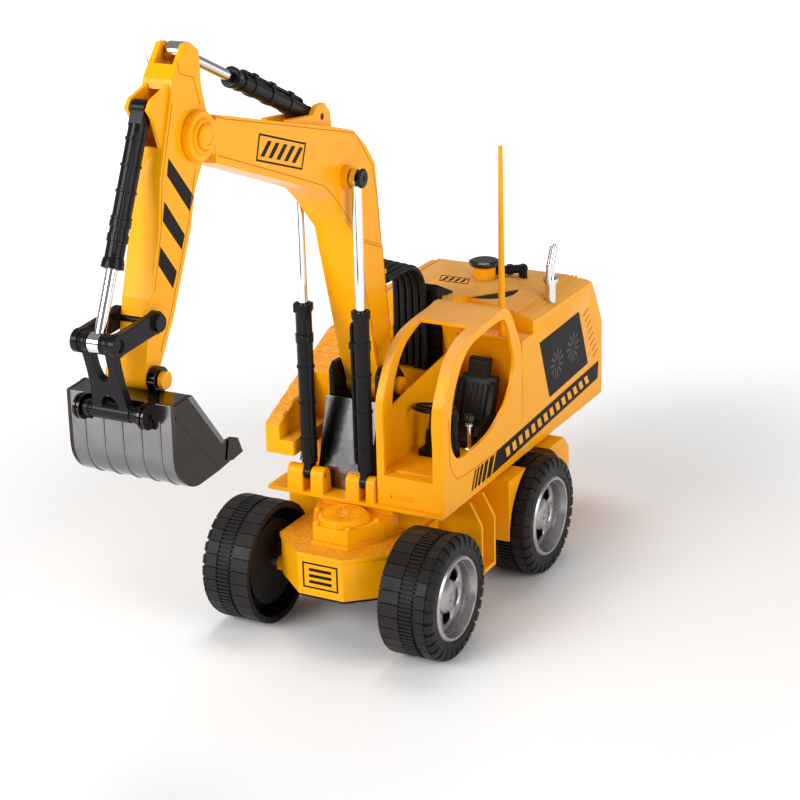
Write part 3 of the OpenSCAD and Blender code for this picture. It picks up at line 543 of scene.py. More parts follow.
for name, mat in {
    "chassis_cover": SATIN_BLACK, "battery_door": SATIN_BLACK, "nose_cap": YELLOW, "deck_plate": YELLOW,
    "boom_bracket": BLACK, "guard_plate": GUNMETAL, "rocker_links": BLACK, "front_grille": BLACK,
    # hood_inlay is a black crescent at the foot of the hood dome, a dark sheet laid in the shadow gap there:
    # painted shade.
    "hood_inlay": BLACK, "steering_column": BLACK,
}.items():
    refine(name, mat)
# The top finishes paint shade: a darker tan on the hood top, and darker hollows on the pebbled carrier and
# walkway tops.
refine("chassis_shell", YELLOW, bevel=0.6, top=PEBBLED, above=(50, 60))
refine("engine_housing", YELLOW, bevel=0.9, segments=3, top=FROSTED_TOP_SHADE, above=(130, ANY_HEIGHT[1]))
refine("right_platform", YELLOW, bevel=0.6, top=PEBBLED)
refine("boom_shell", YELLOW, bevel=0.5)
refine("stick_shell", YELLOW, bevel=0.5)
for name, mat in {
    "cover_screws": STEEL, "battery_pack": CELLS, "drive_gearboxes": CASE, "front_axle": STEEL,
    "slew_ring": STEEL, "slew_gearbox": CASE, "stub_axle_left": STEEL, "stub_axle_right": STEEL,
    "steering_wheel": BLACK, "antenna": YELLOW, "exhaust_pipes": CHROME,
    "intake_cap": GLOSSY_BLACK, "intake_elbow": BLACK, "boom_foot_pin": YELLOW,
    "circuit_board": BOARD, "housing_screws": STEEL, "side_stickers": STICKER,
    "stick_pins": YELLOW, "bucket_pins": BLACK,
    "lift_barrel_left": BLACK, "lift_barrel_right": BLACK, "stick_barrel": BLACK,
    "bucket_barrel": BLACK, "lift_rod_left": CHROME, "lift_rod_right": CHROME,
    "stick_rod": CHROME, "bucket_rod": CHROME,
}.items():
    dress(name, mat)


# ---- printed marks and engraved lines

PRINT = 0.12
ENGRAVED_R = 0.22


def between(corners, u, v):
    """The point at (u, v) of a four-cornered panel given as (x, z) points."""
    a, b, c, d = (Vector(p) for p in corners)
    return tuple(a.lerp(b, u).lerp(d.lerp(c, u), v))


def printed(name, body, outlines, y, mat=STICKER, slot_name="black_plastic", middle=0.0):
    """Thin printed shapes on the flanks of a member whose sides lie at middle +- y."""
    shape = Shape()
    for side in (-1, 1):
        for outline in outlines:
            shape.slab(outline, middle + side * y, middle + side * (y + PRINT))
    return shape.place(name, body, mat, slot_name, bevel=0)


def slanted_bars(corners, count, fill=0.5, lean=0.12, inset=0.2):
    """Plain slanted bars that fill a panel, as hazard marking does."""
    bars = []
    for i in range(count):
        u0 = 0.08 + 0.84 * i / count
        u1 = u0 + 0.84 / count * fill
        bars.append([between(corners, u0, 1 - inset), between(corners, u1, 1 - inset),
                     between(corners, min(u1 + lean, 0.98), inset),
                     between(corners, min(u0 + lean, 0.98), inset)])
    return bars


def framed(corners, rim_w):
    """Four strips along the edges of a panel."""
    strips = []
    for (u0, v0), (u1, v1) in (((0, 0), (1, rim_w)), ((0, 1 - rim_w), (1, 1)),
                               ((0, rim_w), (rim_w * 0.35, 1 - rim_w)),
                               ((1 - rim_w * 0.35, rim_w), (1, 1 - rim_w))):
        strips.append([between(corners, u0, v0), between(corners, u1, v0),
                       between(corners, u1, v1), between(corners, u0, v1)])
    return strips


def engraved(name, body, paths, y, middle=0.0, sides=(-1, 1)):
    """Fine moulded lines drawn on the flanks as thin raised tubes in the darker amber, which is painted shade
    for the grooves.
    """
    shape = Shape()
    for side in sides:
        for path in paths:
            shape.tube([(x, middle + side * y, z) for x, z in path], ENGRAVED_R, 8)
    return shape.place(name, body, GROOVE_SHADE_AMBER, "yellow_plastic", bevel=0)


BOOM_MARK = [(123.6, 297.1), (79.8, 282.5), (84.8, 269.7), (127.6, 284.2)]
printed("boom_mark", "boom", framed(BOOM_MARK, 0.07) + slanted_bars(BOOM_MARK, 5, 0.45), BOOM_HW,
        middle=ARM_Y)
engraved("boom_seams", "boom", [
    [(30.1, 219.8), (3.8, 208.9), (-2.4, 158)],
    [(29.8, 218.3), (4.2, 207.6)],
    [(171, 316.9), (152.8, 310.2), (29.5, 276.7), (12.3, 255.5), (7.8, 236.8), (5.4, 212)],
    [(160.5, 294.4), (91.5, 267.6), (63.3, 256.3), (52.8, 247.2), (33.6, 226.6), (31, 214.6), (12, 146)],
], BOOM_HW, middle=ARM_Y)
printed("stick_stripes", "stick", [
    [(196.3, 301), (198.4, 293.4), (181.8, 272.1), (178.1, 278.9)],
    [(201.8, 282), (204.2, 273.3), (190.5, 256.1), (187.2, 262.4)],
    [(207.3, 262.1), (210, 254.1), (199.6, 239.9), (195.6, 247)],
], STICK_HW, middle=ARM_Y)
engraved("stick_seam", "stick", [
    [(185.2, 343.9), (182.8, 337), (172.4, 333.6), (168, 319.7)],
    [(175.2, 291), (184, 266), (202.5, 228.6), (213, 213)],
    [(190.6, 325.2), (202.6, 291.6), (206, 269), (214.6, 242)],
], STICK_HW, middle=ARM_Y)

BAND = [(-166, 92.6), (-22.5, 85.4), (-18.5, 77.4), (-165.2, 85.2)]
PANEL_AT = DECK_HW + 0.3
printed("band_dashes", "upper", slanted_bars(BAND, 14, 0.55, 0.03, 0.12), PANEL_AT, YELLOW, "yellow_plastic")
WINDOW = [(-83, 132), (-136, 133.6), (-149, 99.5), (-97, 97)]
FAN_BLADES = 11
FAN_R = 9.5


def fan_blades(u, v, r):
    """Faint blades round a point of the window panel, as of a cooling fan behind it."""
    x, z = between(WINDOW, u, v)
    blades = []
    for i in range(FAN_BLADES):
        a = 2 * math.pi * i / FAN_BLADES
        blades.append([(x + q * math.cos(a + t), z + q * math.sin(a + t)) for q, t in (
            (r * 0.22, 0), (r * 0.9, -0.12), (r, 0.1), (r * 0.25, 0.3))])
    return blades


printed("window_fans", "upper", fan_blades(0.27, 0.55, FAN_R) + fan_blades(0.73, 0.5, FAN_R), PANEL_AT,
        SMUDGE)


# ---- boom and stick

def fork_cheeks():
    """Raised round plates with ring bosses over the stick pivot."""
    shape = Shape()
    px, pz = STICK_PIVOT
    start, end = math.radians(152), math.radians(-130)
    rounding = [(px + 11.6 * math.cos(a), pz + 11.6 * math.sin(a)) for a in
                (start + (end - start) * i / 30 for i in range(31))]
    shape.slab(rounding + [(163.9, 295.4), (160.4, 312.3)], ARM_Y + BOOM_HW - 0.6, ARM_Y + BOOM_HW + 0.7)
    shape.turned([(8.4, -0.4), (8.4, 1.6), (7.9, 2.1), (6.9, 2.1), (6.7, 1.6), (6.7, -0.4)],
                 (px, ARM_Y + BOOM_HW, pz), (0, 1, 0))
    shape.mirrored(ARM_Y)
    shape.place("fork_cheeks", "boom", YELLOW, "yellow_plastic", bevel=0.3)


def boom_caps():
    """Pin caps: yellow at the stick pivot, black at the lift rods, and the stick cylinder's pin."""
    half = PINS_HALF
    hub = Shape()
    x, z = STICK_PIVOT
    hub.rod((x, ARM_Y - 13.5, z), (x, ARM_Y + 13.5, z), 3)
    for side in (1, -1):
        hub.turned([(6.3, 13), (6.3, 14.6), (5.4, 15.4), (4.0, 15.5), (3.8, 15.0), (0.1, 15.0)],
                   (x, ARM_Y, z), (0, side, 0), 12)
    hub.place("stick_pivot_caps", "boom", YELLOW, "yellow_plastic", bevel=0.25, replaces=("boom_pins",))
    pins = Shape()
    x, z = LIFT_TOP
    pins.rod((x, ARM_Y - half + 1.2, z), (x, ARM_Y + half - 1.2, z), 1.8)
    for side in (-1, 1):
        pins.turned([(5.2, half - 1.5), (5.2, half - 0.5), (4.6, half), (1.6, half), (1.4, half - 0.5),
                     (0.1, half - 0.5)], (x, ARM_Y, z), (0, side, 0))
    x, z = STICK_CYL_BASE
    pins.rod((x, ARM_Y - 8, z), (x, ARM_Y + 8, z), 1.8)
    pins.place("lift_pin_caps", "boom", BLACK, "black_plastic", bevel=0.2)


fork_cheeks()
boom_caps()


# ---- bucket and its linkage

def arc(centre, rx, rz, start, end, count):
    """Points of an ellipse in the side view, angles in degrees."""
    turns = (math.radians(start + (end - start) * i / (count - 1)) for i in range(count))
    return [(centre[0] + rx * math.cos(a), centre[1] + rz * math.sin(a)) for a in turns]


def bucket():
    """Rolled back plate with ribs, side plates with cutters, teeth, and the ears for both pins."""
    low, high = edges("bucket_shell")
    half = (high.y - low.y) / 2
    heel = (219.5, 171)
    outside = ([(236.4, 197), (236.7, 188)] + arc(heel, 17.5, 18.3, 0, -90, 14)
               + [(203.3, 153.5), (183, 156.2)])
    inside = ([(185, 157.9), (203.5, 155.7)] + arc(heel, 15.3, 16.1, -90, 0, 14)
              + [(234.5, 188), (234.3, 195)])
    shell = Shape()
    back = Shape()
    back.slab(outside + inside + [(222.4, 196), (222, 198)], ARM_Y - half + 2, ARM_Y + half - 2)
    mouth = [(182.7, 156.1), (189.8, 165.9), (196.9, 166.2), (222, 198)]
    for side in (-1, 1):
        def at(y):
            return ARM_Y + side * y
        shell.slab(outside[:-1] + mouth, at(half), at(half - 2))
        shell.slab([(182.7, 156.1), (186.5, 164.6), (189.8, 165.9), (194.6, 166), (196.9, 157), (192, 154.9)],
                   at(half + 0.7), at(half - 0.3))
        shell.tube([(236, at(half), 191.6), (202.5, at(half), 154.4)], 0.5, 8)
        shell.slab(arc(BUCKET_PIVOT, 6.2, 6.2, -35, 215, 20) + [(217, 196.5), (233, 196)], at(8.5), at(12.8))
        for near, far in ((16, 17.4), (18.2, 19.6)):
            shell.slab(arc(LINK_BAR, 6, 6, -100, 100, 16) + [(236, 197), (236, 184)], at(near), at(far))
        shell.slab(arc(LINK_BAR, 4.6, 4.6, -100, 100, 16) + [(236, 196), (236, 186)], at(17.2), at(18.4))
    ribs = teeth = 5
    for k in range(ribs):
        y = ARM_Y - 20.5 + 10.5 * k
        back.tube([(x, y, z) for x, z in [(236.9, 189)] + arc(heel, 17.5, 18.3, 0, -84, 14)], 0.55, 8)
    for k in range(teeth):
        y = ARM_Y - 24 + 12 * k
        shell.slab([(188, 154.7), (188, 157.8), (180.6, 156.2), (180.6, 155.2)], y - 3, y + 3)
    # The rolled back plate gets the lighter gunmetal and the side plates the polished black, two copies of
    # one black moulding. The lighter copy is painted reflection for the bright back.
    back.place("bucket_back", "bucket", GUNMETAL, "black_plastic", bevel=0.2)
    shell.place("bucket_plates", "bucket", POLISHED_BLACK, "black_plastic", bevel=0.3,
                replaces=("bucket_shell",))
    trim = Shape()
    for side in (-1, 1):
        trim.slab([(222, 198), (225.6, 197.7), (200.4, 166.4), (196.9, 166.2)],
                  ARM_Y + side * (half - 0.2), ARM_Y + side * (half + 0.35))
    trim.place("bucket_edge_bands", "bucket", GUNMETAL, "black_plastic", bevel=0.15)


def link():
    """H-shaped link: two legs that flare towards the bar, a cross web with an arch, sleeves and the bar."""
    top = Vector((LINK_TOP[0], ARM_Y, LINK_TOP[1]))
    bar = Vector((LINK_BAR[0], ARM_Y, LINK_BAR[1]))
    along = (bar - top).normalized()
    thick = Vector((along.z, 0, -along.x))
    half = [(-9.2, 1), (-3.8, 1), (-3.6, 13), (-2.4, 17.8), (0, 19.4)]
    arch = [(-10, 35), (-4.8, 35), (-4.3, 30.4), (-2.6, 27.8), (0, 26.8)]
    outline = half + [(-y, u) for y, u in reversed(half[:-1])] + [(8.5, 13), (8.6, 21)] \
        + [(-y, u) for y, u in arch] + list(reversed(arch[:-1])) + [(-8.6, 21), (-8.5, 13)]
    shape = Shape()
    half_thick = 2.2
    shape.skinned([[top + along * u + Vector((0, y, 0)) + thick * v for y, u in outline]
                   for v in (-half_thick, half_thick)])
    for side in (-1, 1):
        shape.turned([(1.9, 3.6), (5, 3.6), (5, 4.4), (4.5, 4.9), (4.5, 6.8), (5, 7.3), (5, 8.1), (1.9, 8.1)],
                     top, (0, side, 0))
    shape.turned([(4.1, -15.6), (4.1, -12.6), (3.3, -12.2), (3.3, -10.6), (4.1, -10.2), (4.1, 10.2),
                  (3.3, 10.6), (3.3, 12.2), (4.1, 12.6), (4.1, 15.6)], bar, (0, 1, 0))
    shape.place("h_link_casting", "h_link", BLACK, "black_plastic", bevel=0.35, replaces=("bucket_link",))


def lift_base_pins():
    """The short pins between each pair of ears at the foot of the lift cylinders."""
    shape = Shape()
    x, z = LIFT_BASE
    for y0, y1 in ((-41, -20.4), (-4.2, 12)):
        shape.rod((x, y0, z), (x, y1, z), 1.8)
    shape.place("lift_base_pin_pair", "upper", STEEL, "steel", bevel=0.2, replaces=("lift_base_pins",))


bucket()
link()
lift_base_pins()


# ---- cylinders

def fit_out(node, base, towards, y, length, out, bands, clips, lobes=True):
    """Feed pipe, clips, collars and the flared mouth of one cylinder barrel. base and towards are side-view
    points, out is the direction of the pipe from the barrel's axis, and bands and clips are distances
    from the base pin."""
    start = Vector((base[0], y, base[1]))
    ahead = (Vector((towards[0], y, towards[1])) - start).normalized()
    out = Vector(out)
    out = (out - ahead * out.dot(ahead)).normalized()
    across = ahead.cross(out)
    shape = Shape()
    off = BARREL_R + 0.9
    shape.tube([start + ahead * a + out * o for a, o in (
        (11, BARREL_R - 1), (12, off - 0.4), (14, off), (length - 9, off), (length - 7, off - 0.4),
        (length - 6, BARREL_R - 1))], 0.9, 12)
    for a in bands:
        shape.turned([(BARREL_R - 0.4, 0), (BARREL_R + 0.55, 0.2), (BARREL_R + 0.55, 1.4),
                      (BARREL_R - 0.4, 1.6)], start + ahead * a, ahead)
    for a in clips:
        shape.turned([(BARREL_R - 0.4, 0), (BARREL_R + 0.5, 0.1), (BARREL_R + 0.5, 3.9), (BARREL_R - 0.4, 4)],
                     start + ahead * a, ahead)
        shape.tube([start + ahead * (a + 0.2) + out * off, start + ahead * (a + 3.8) + out * off], 1.7, 12)
    shape.turned([(BARREL_R - 0.5, -5), (BARREL_R + 0.4, -4.6), (BARREL_R + 0.8, -2.4),
                  (BARREL_R + 0.9, -0.2), (BARREL_R + 0.4, 0.15), (BARREL_R - 0.6, 0.2),
                  (BARREL_R - 0.7, -0.6)],
                 start + ahead * length, ahead)
    if lobes:
        for s in (-1, 1):
            shape.tube([start + ahead * (length - 4.4) + across * s * BARREL_R,
                        start + ahead * (length - 0.2) + across * s * BARREL_R], 1.5, 12)
    shape.place(node + "_pipe", BODY_OF[node], BLACK, "black_plastic", bevel=0.15, segments=1)


for node, side in (("lift_barrel_left", 1), ("lift_barrel_right", -1)):
    fit_out(node, LIFT_BASE, LIFT_TOP, ARM_Y + side * LIFT_OFF, length=99,
            out=(0.574, -0.819 * side, 0), bands=(20, 41, 62), clips=(78,))
fit_out("stick_barrel", STICK_CYL_BASE, STICK_CYL_TOP, ARM_Y, length=79.6,
        out=(-0.4, 0.35, 1), bands=(70,), clips=(22, 41, 58))
fit_out("bucket_barrel", BUCKET_CYL_BASE, LINK_TOP, ARM_Y, length=73.9,
        out=(1, 0.6, 0), bands=(14, 26, 38, 50), clips=(58,), lobes=False)


# ---- hoses

def hoses():
    """Five rubber hoses from behind the boom, over in an arch and down in front of the grille. They stop
    half a millimetre or more short of the boom, and their lower ends stop in open air."""
    low, high = edges("hydraulic_hoses")
    r, arch, count = 1.9, 21, 5
    lag = 0.4
    pitch = (high.y - low.y - 2 * r) / (count - 1)
    centre_x, centre_z = -23.5, high.z - r - arch
    for i in range(count):
        y = low.y + r + i * pitch
        drop = lag * i
        path = [(-0.9, y, centre_z + arch - drop), (-6, y, centre_z + arch - drop),
                (-14, y, centre_z + arch - drop), (centre_x, y, centre_z + arch - drop)]
        for k in range(1, 13):
            a = math.radians(90 + 7.5 * k)
            path.append((centre_x + arch * math.cos(a), y, centre_z - drop + arch * math.sin(a)))
        path += [(centre_x - arch, y, centre_z - drop - 9 * k) for k in range(1, 6)]
        shape = Shape()
        shape.tube(path, r, 20)
        name = "hose_%d" % (i + 1)
        obj = shape.place(name, None, HOSE, "soft_hose", bevel=0,
                          replaces=("hydraulic_hoses",) if i == 0 else ())
        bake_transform(obj)


hoses()


# ---- cab

CAB_SIDE = DECK_HW
EASE_STEPS = 5


def eased(points, sharp=()):
    """A smooth closed outline through points; the ones whose index is in sharp stay corners."""
    out = []
    n = len(points)
    for i in range(n):
        before, a, b, after = (Vector(points[(i + k) % n]) for k in (-1, 0, 1, 2))
        reach = (b - a).length
        leave = (b - a) if i in sharp else (b - before).normalized() * reach
        arrive = (b - a) if (i + 1) % n in sharp else (after - a).normalized() * reach
        count = 1 if i in sharp and (i + 1) % n in sharp else EASE_STEPS
        for k in range(count):
            t = k / count
            out.append(tuple((2 * t ** 3 - 3 * t ** 2 + 1) * a + (t ** 3 - 2 * t ** 2 + t) * leave
                             + (3 * t ** 2 - 2 * t ** 3) * b + (t ** 3 - t ** 2) * arrive))
    return out


def shrunk(outline, by):
    """A closed outline, listed anticlockwise, moved inwards."""
    out = []
    n = len(outline)
    for i in range(n):
        before, here, after = (Vector(outline[(i + k) % n]) for k in (-1, 0, 1))
        first = Vector((-(here - before).y, (here - before).x)).normalized()
        second = Vector((-(after - here).y, (after - here).x)).normalized()
        both = (first + second).normalized()
        out.append(tuple(here + both * by / max(both.dot(first), 0.5)))
    return out


def carved(solid, cuts):
    """The mesh left when the cutting shapes are taken out of a solid shape."""
    made = []
    for shape in [solid] + cuts:
        bmesh.ops.recalc_face_normals(shape.bm, faces=shape.bm.faces)
        mesh = bpy.data.meshes.new("cut")
        shape.bm.to_mesh(mesh)
        shape.bm.free()
        obj = bpy.data.objects.new("cut", mesh)
        bpy.context.scene.collection.objects.link(obj)
        made.append(obj)
    for cutter in made[1:]:
        mod = made[0].modifiers.new("cut", "BOOLEAN")
        mod.operation = "DIFFERENCE"
        mod.solver = "EXACT"
        mod.object = cutter
    bpy.context.view_layer.update()
    whole = made[0].evaluated_get(bpy.context.evaluated_depsgraph_get())
    result = bpy.data.meshes.new_from_object(whole)
    for obj in made:
        bpy.data.objects.remove(obj)
    return result


def cab_body():
    """One moulding: side panels with the door and arm-side windows, roof, open front and open back."""
    low, high = edges("cab_frame")
    y0, y1, wall, floor_z = low.y, high.y, 2.0, 92.0
    outer = eased([(-56.8, 74), (43.7, 74), (43.3, 111.7), (43.9, 123.4), (42.3, 134.2), (35.9, 146.3),
                   (28.3, 156.8), (16.1, 163.7), (1.3, 166.5), (-17.5, 167.7), (-36.8, 167.7), (-49.7, 150.9),
                   (-56.8, 134)], sharp=(0, 1))
    door = eased([(25, 100), (33, 108), (34.5, 120), (32.5, 131), (27, 143.5), (18.5, 154), (9.7, 159.5),
                  (-2.7, 161.6), (-28, 163), (-35.5, 160), (-43, 144), (-46, 134), (-43, 123),
                  (-36, 113), (-27, 107.6), (-14, 102), (-1, 100)], sharp=(16,))
    arm_window = eased([(27.4, 124.9), (25.7, 134), (20.4, 145), (11.8, 154.7), (0.8, 160), (-9, 162.4),
                        (-34, 162.4), (-43, 134.3)], sharp=(0, 6, 7))
    room = [(low.x + wall, floor_z), (high.x - 0.6 - wall, floor_z)]
    room += [(x, z) for x, z in shrunk(outer, wall) if z > floor_z + 1]
    mesh = carved(Shape().slab(outer, y0, y1), [
        Shape().slab(room, y0 + wall, y1 - wall),
        Shape().slab([(-54, 70), (41, 70), (41, floor_z - wall), (-54, floor_z - wall)],
                     y0 + wall, y1 - wall),
        Shape().slab(door, y1 - 4, y1 + 4),
        Shape().slab(arm_window, y0 - 4, y0 + 4),
        Shape().slab([(60, 91), (36, 91), (30, 120), (10, 150), (-3, 158), (-3, 172), (60, 172)],
                     y0 + 4.5, y1 - 7),
        Shape().slab([(-70, 144), (-46, 144), (-34.5, 165.7), (-38, 170), (-70, 170)],
                     y0 + wall, y1 - wall),
        Shape().block((42.6, 22, 78), (46, 36, 80)),
    ])
    bm = bmesh.new()
    bm.from_mesh(mesh)
    bmesh.ops.remove_doubles(bm, verts=bm.verts, dist=1e-5)
    bmesh.ops.dissolve_limit(bm, angle_limit=math.radians(FLAT_ANGLE), verts=bm.verts, edges=bm.edges)
    # The roof faces take the frosted top finish. Its darker tan is painted shade on the roof.
    roof_from = 150 * MM
    for f in bm.faces:
        if f.normal.z > UPWARD and f.calc_center_median().z > roof_from:
            f.material_index = 1
    bm.to_mesh(mesh)
    bm.free()
    settle(mesh, "cab_moulding", "upper", (YELLOW, FROSTED_TOP_SHADE), 0.6, 3, 35, ("cab_frame",))


def cab_lines():
    """The panel line below the door opening and the rim of the slot in the front panel."""
    groove = [(37.4, 127), (36.1, 115.1), (36.1, 100.6), (32.7, 94.1), (27.4, 89.1), (20.7, 88.1),
              (-0.5, 87.6), (-26.4, 86.8), (-39.8, 87.2), (-53.3, 88.5)]
    engraved("door_groove", "upper", [groove], CAB_SIDE, sides=(1,))
    face = edges("cab_frame")[1].x - 0.5
    front = Shape()
    y0, y1, z0, z1 = 20.6, 37.4, 76.6, 81.4
    front.tube([(face, y, z) for y, z in (
        (y0 + 1, z0), (y1 - 1, z0), (y1, z0 + 1), (y1, z1 - 1), (y1 - 1, z1),
        (y0 + 1, z1), (y0, z1 - 1), (y0, z0 + 1), (y0 + 1, z0))], 0.35, 8)
    front.place("front_slot_rim", "upper", YELLOW, "yellow_plastic", bevel=0)


def cab_seat():
    """Moulded bucket seat: cushion, side bolsters, ribbed back with shoulders, and a plain headrest with
    three small bars that lie inside it, out of sight."""
    shape = Shape()
    y0, y1 = 22, 46
    mid = (y0 + y1) / 2
    shape.slab([(-38, 92), (-8, 92), (-7, 97), (-9.5, 100.4), (-34, 99.2), (-38, 98)], y0, y1)
    for y in (y0 - 2, y1 - 1):
        shape.slab([(-40, 96), (-12, 96), (-11, 99), (-14, 103.2), (-36, 104), (-40, 103)], y, y + 3)
    back = [(-33, 98), (-40, 98), (-48.5, 121), (-47.5, 122.5), (-44, 122.5), (-42.6, 120)]
    shape.slab(back, y0 + 1, y1 - 1)
    for y in (y0 + 0.2, y1 - 3.6):
        shape.slab([(-31, 99), (-36, 99), (-44, 119.5), (-41.8, 121), (-39.6, 119)], y, y + 3.4)
    for k in range(5):
        y = mid - 6.4 + 3.2 * k
        shape.slab([(-33.8, 101.5), (-34.8, 101.5), (-42.4, 118.6), (-41.2, 118.6)], y - 0.8, y + 0.8)
    shape.slab([(-43, 120.5), (-47.5, 120.5), (-51.2, 131), (-49.6, 132.4), (-47, 132.4), (-45.6, 131)],
               mid - 7.4, mid + 5.4)
    for k in range(3):
        z = 123.4 + 2.7 * k
        back_by = 0.36 * (z - 121)
        shape.slab([(-43.3 - back_by, z), (-44.8 - back_by, z), (-45.1 - back_by, z + 1.2),
                    (-43.6 - back_by, z + 1.2)], mid - 6, mid + 4)
    shape.place("cab_seat_moulding", "upper", SATIN_BLACK, "black_plastic", bevel=0.7, segments=3, angle=25,
                replaces=("cab_seat",))


def control_lever():
    """Bright stem on a short cross pin, with a glossy knob."""
    low, high = edges("control_lever")
    x, y = (low.x + high.x) / 2, (low.y + high.y) / 2
    stem = Shape()
    stem.rod((x, y, low.z + 1.2), (x, y, high.z - 3), 1.1)
    stem.rod((x, y - 1.8, 93.4), (x, y + 1.8, 93.4), 1.2)
    stem.turned([(1.2, 0), (2.1, 0.4), (2.1, 1.4), (1.4, 2.2)], (x, y, high.z - 8), (0, 0, 1))
    stem.place("lever_stem", "lever", CHROME, "chrome", bevel=0.1, replaces=("control_lever",))
    knob = Shape()
    knob.turned([(1.5, -3.2), (2.4, -2.2), (2.8, -0.6), (2.8, 0.6), (2.3, 1.8), (1.2, 2.6), (0.2, 2.8)],
                (x, y, high.z - 2.8), (0, 0, 1), 32)
    knob.place("lever_knob", "lever", GLOSSY_BLACK, "black_plastic", bevel=0)


cab_body()
cab_lines()
cab_seat()
control_lever()


# ---- hood, nose, grille and tail details

def hood_mark():
    """A plain bar mark printed on the level top of the hood."""
    corners, z = [(-104, -20), (-104, -1), (-93, 3), (-93, -16)], 159.2
    shape = Shape()
    for outline in framed(corners, 0.09) + slanted_bars(corners, 4, 0.45):
        shape.plate(outline, z, z + PRINT)
    shape.place("hood_mark", "upper", STICKER, "black_plastic", bevel=0)


def cap_relief():
    """Rings and rays raised on the round cap, and the studs at the corners of the step that it sits on."""
    low, high = edges("nose_cap")
    x = (low.x + high.x) / 2
    top = high.z - 0.55
    shape = Shape()
    shape.ring((x, 0, top), (0, 0, 1), 12.0, 0.5, 64, 10)
    shape.ring((x, 0, top + 0.1), (0, 0, 1), 3.6, 0.4, 40, 8)
    shape.ring((x, 0, low.z + 1.1), (0, 0, 1), 14.5, 0.45, 72, 8)
    rays = 24
    for i in range(rays):
        a = 2 * math.pi * i / rays
        near, far = (5.6, 10.6) if i % 2 else (7.4, 10.6)
        shape.tube([(x + r * math.cos(a), r * math.sin(a), top + 0.15) for r in (near, far)], 0.42, 8)
    for sx, sy in ((70.4, 9.9), (54, 18.4)):
        for side in (-1, 1):
            shape.turned([(1.9, 0), (1.9, 0.8), (1.5, 1.7), (0.6, 2.1)],
                         (sx, side * sy, low.z - 0.1), (0, 0, 1), 24)
    shape.place("nose_cap_relief", "carrier", YELLOW, "yellow_plastic", bevel=0)


def grille_hatch():
    """Crossed diagonal ridges on the grille behind the hoses."""
    low, high = edges("front_grille")
    y0, y1, z0, z1 = low.y + 0.8, high.y - 6, low.z + 3, high.z - 10.5
    x = high.x + 0.1
    pitch = 6.5
    shape = Shape()
    steps = int((y1 - y0 + z1 - z0) / pitch)
    for k in range(1, steps + 1):
        d = k * pitch
        start = (max(0, d - (z1 - z0)), min(d, z1 - z0))
        end = (min(d, y1 - y0), max(0, d - (y1 - y0)))
        shape.tube([(x, y0 + start[0], z0 + start[1]), (x, y0 + end[0], z0 + end[1])], 0.45, 8)
        shape.tube([(x, y1 - start[0], z0 + start[1]), (x, y1 - end[0], z0 + end[1])], 0.45, 8)
    shape.place("grille_hatch", "upper", BLACK, "black_plastic", bevel=0)


def rear_panel():
    """Service panel with level louvre lines on the sloping tail, a guess: the photo does not show it."""
    foot, head = Vector((-183.5, 99.5)), Vector((-165, 137))
    shape = Shape()

    def across(t, reach):
        x, z = foot.lerp(head, t)
        shape.tube([(x, -reach, z), (x, reach, z)], 0.3, 8)

    across(0.1, 38)
    across(0.92, 34)
    for t in (0.3, 0.4, 0.5, 0.6, 0.7):
        across(t, 22)
    for side in (-1, 1):
        ends = [(foot.lerp(head, t), side * y) for t, y in ((0.1, 38), (0.92, 34))]
        shape.tube([(p.x, y, p.y) for p, y in ends], 0.3, 8)
    # The louvre lines take the darker amber: painted shade for the grooves.
    shape.place("rear_panel_lines", "upper", GROOVE_SHADE_AMBER, "yellow_plastic", bevel=0)


cap_relief()
grille_hatch()
rear_panel()
hood_mark()

NOSE_X = 85.2


def nose_mark():
    """Three plain level bars inside a frame on the nose."""
    shape = Shape()
    frame_bars = ((-11, 11, 50.6, 51.6), (-11, 11, 36.4, 37.4), (-11, -10, 37.4, 50.6), (10, 11, 37.4, 50.6))
    inner_bars = ((-7, 7, 46.6, 48.4), (-7, 7, 43, 44.8), (-7, 7, 39.4, 41.2))
    for y0, y1, z0, z1 in frame_bars + inner_bars:
        shape.block((NOSE_X, y0, z0), (NOSE_X + PRINT, y1, z1))
    shape.place("nose_mark", "carrier", STICKER, "black_plastic", bevel=0)


nose_mark()


# ---- floor, light, camera

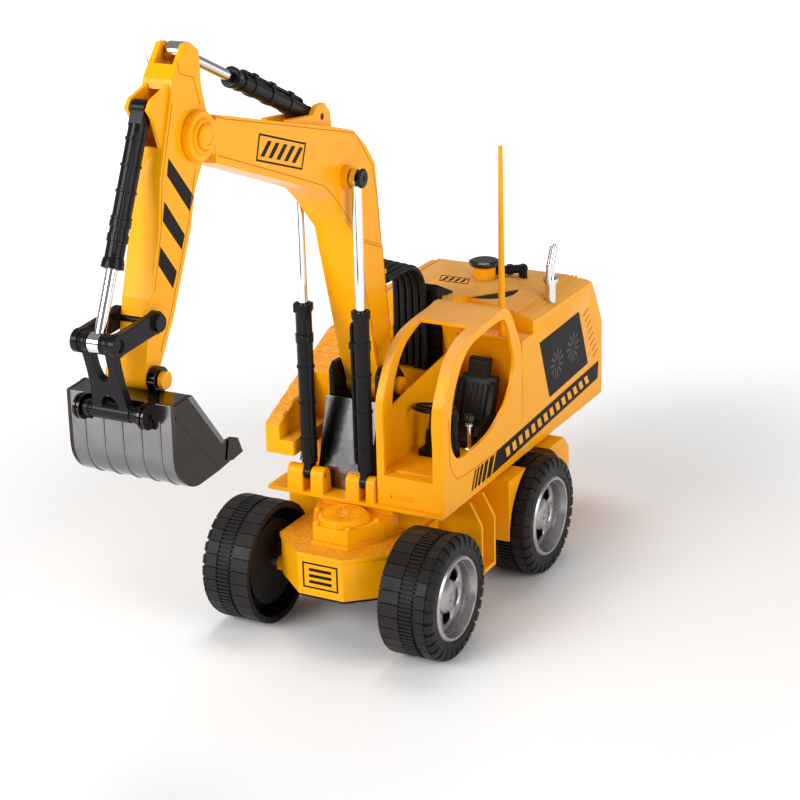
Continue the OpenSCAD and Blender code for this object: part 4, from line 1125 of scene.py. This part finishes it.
def floor():
    """A wide, level, pale floor."""
    mesh = bpy.data.meshes.new("floor")
    bm = bmesh.new()
    bmesh.ops.create_grid(bm, x_segments=2, y_segments=2, size=6)
    bm.to_mesh(mesh)
    bm.free()
    obj = bpy.data.objects.new("floor", mesh)
    bpy.context.scene.collection.objects.link(obj)
    mat, tree, out = shader("pale_floor")
    at = texture_coords(tree)
    tree.links.new(tint(tree, noise(tree, at, 3), (0.93, 0.93, 0.93), (0.95, 0.95, 0.95)),
                   out.inputs["Base Color"])
    out.inputs["Roughness"].default_value = 0.7
    out.inputs["Specular IOR Level"].default_value = 0.1
    # the far floor glows a little, so that it ends as white as it is beside the toy
    distance = tree.nodes.new("ShaderNodeVectorMath")
    distance.operation = "LENGTH"
    tree.links.new(at, distance.inputs[0])
    glow = tree.nodes.new("ShaderNodeMapRange")
    for socket, value in (("From Min", 0.25), ("From Max", 1.1), ("To Min", 0.0), ("To Max", 0.8)):
        glow.inputs[socket].default_value = value
    tree.links.new(distance.outputs["Value"], glow.inputs["Value"])
    tree.links.new(glow.outputs["Result"], out.inputs["Emission Strength"])
    out.inputs["Emission Color"].default_value = (1, 1, 1, 1)
    mesh.materials.append(mat)


def area_light(name, place, target, size, power):
    """A round white area light, size in metres and power in watts."""
    data = bpy.data.lights.new(name, "AREA")
    data.shape = "DISK"
    data.size = size
    data.energy = power
    obj = bpy.data.objects.new(name, data)
    obj.location = place
    obj.rotation_euler = (Vector(target) - Vector(place)).to_track_quat("-Z", "Y").to_euler()
    bpy.context.scene.collection.objects.link(obj)


def camera():
    """Eye level, turn and lens that put the toy as the product view shows it."""
    place = Vector((0.9644, 0.5296, 0.5254))
    turn, drop, roll = math.radians(28.507), math.radians(20.354), math.radians(-1.58)
    ahead = Vector((-math.cos(drop) * math.cos(turn), -math.cos(drop) * math.sin(turn), -math.sin(drop)))
    right = ahead.cross(Vector((0, 0, 1))).normalized()
    up = right.cross(ahead)
    right_r = math.cos(roll) * right + math.sin(roll) * up
    up_r = math.cos(roll) * up - math.sin(roll) * right
    data = bpy.data.cameras.new("view")
    data.sensor_width = 36.0
    data.lens = 93.9
    obj = bpy.data.objects.new("view", data)
    obj.matrix_world = Matrix.Translation(place) @ Matrix((right_r, up_r, -ahead)).transposed().to_4x4()
    bpy.context.scene.collection.objects.link(obj)
    bpy.context.scene.camera = obj


floor()
area_light("key", (1.7, -0.7, 1.0), (0.0, 0, 0.15), size=1.1, power=31)
area_light("fill", (0.5, 1.7, 0.9), (0, 0, 0.15), size=1.2, power=15)
area_light("top", (-0.5, -0.3, 1.8), (0, 0, 0.1), size=1.0, power=11)
world = bpy.data.worlds.new("studio")
world.use_nodes = True
sky = world.node_tree.nodes["Background"]
sky.inputs["Color"].default_value = (1, 1, 1, 1)
sky.inputs["Strength"].default_value = 0.3
bpy.context.scene.world = world
bpy.context.scene.view_settings.view_transform = "Standard"
camera()
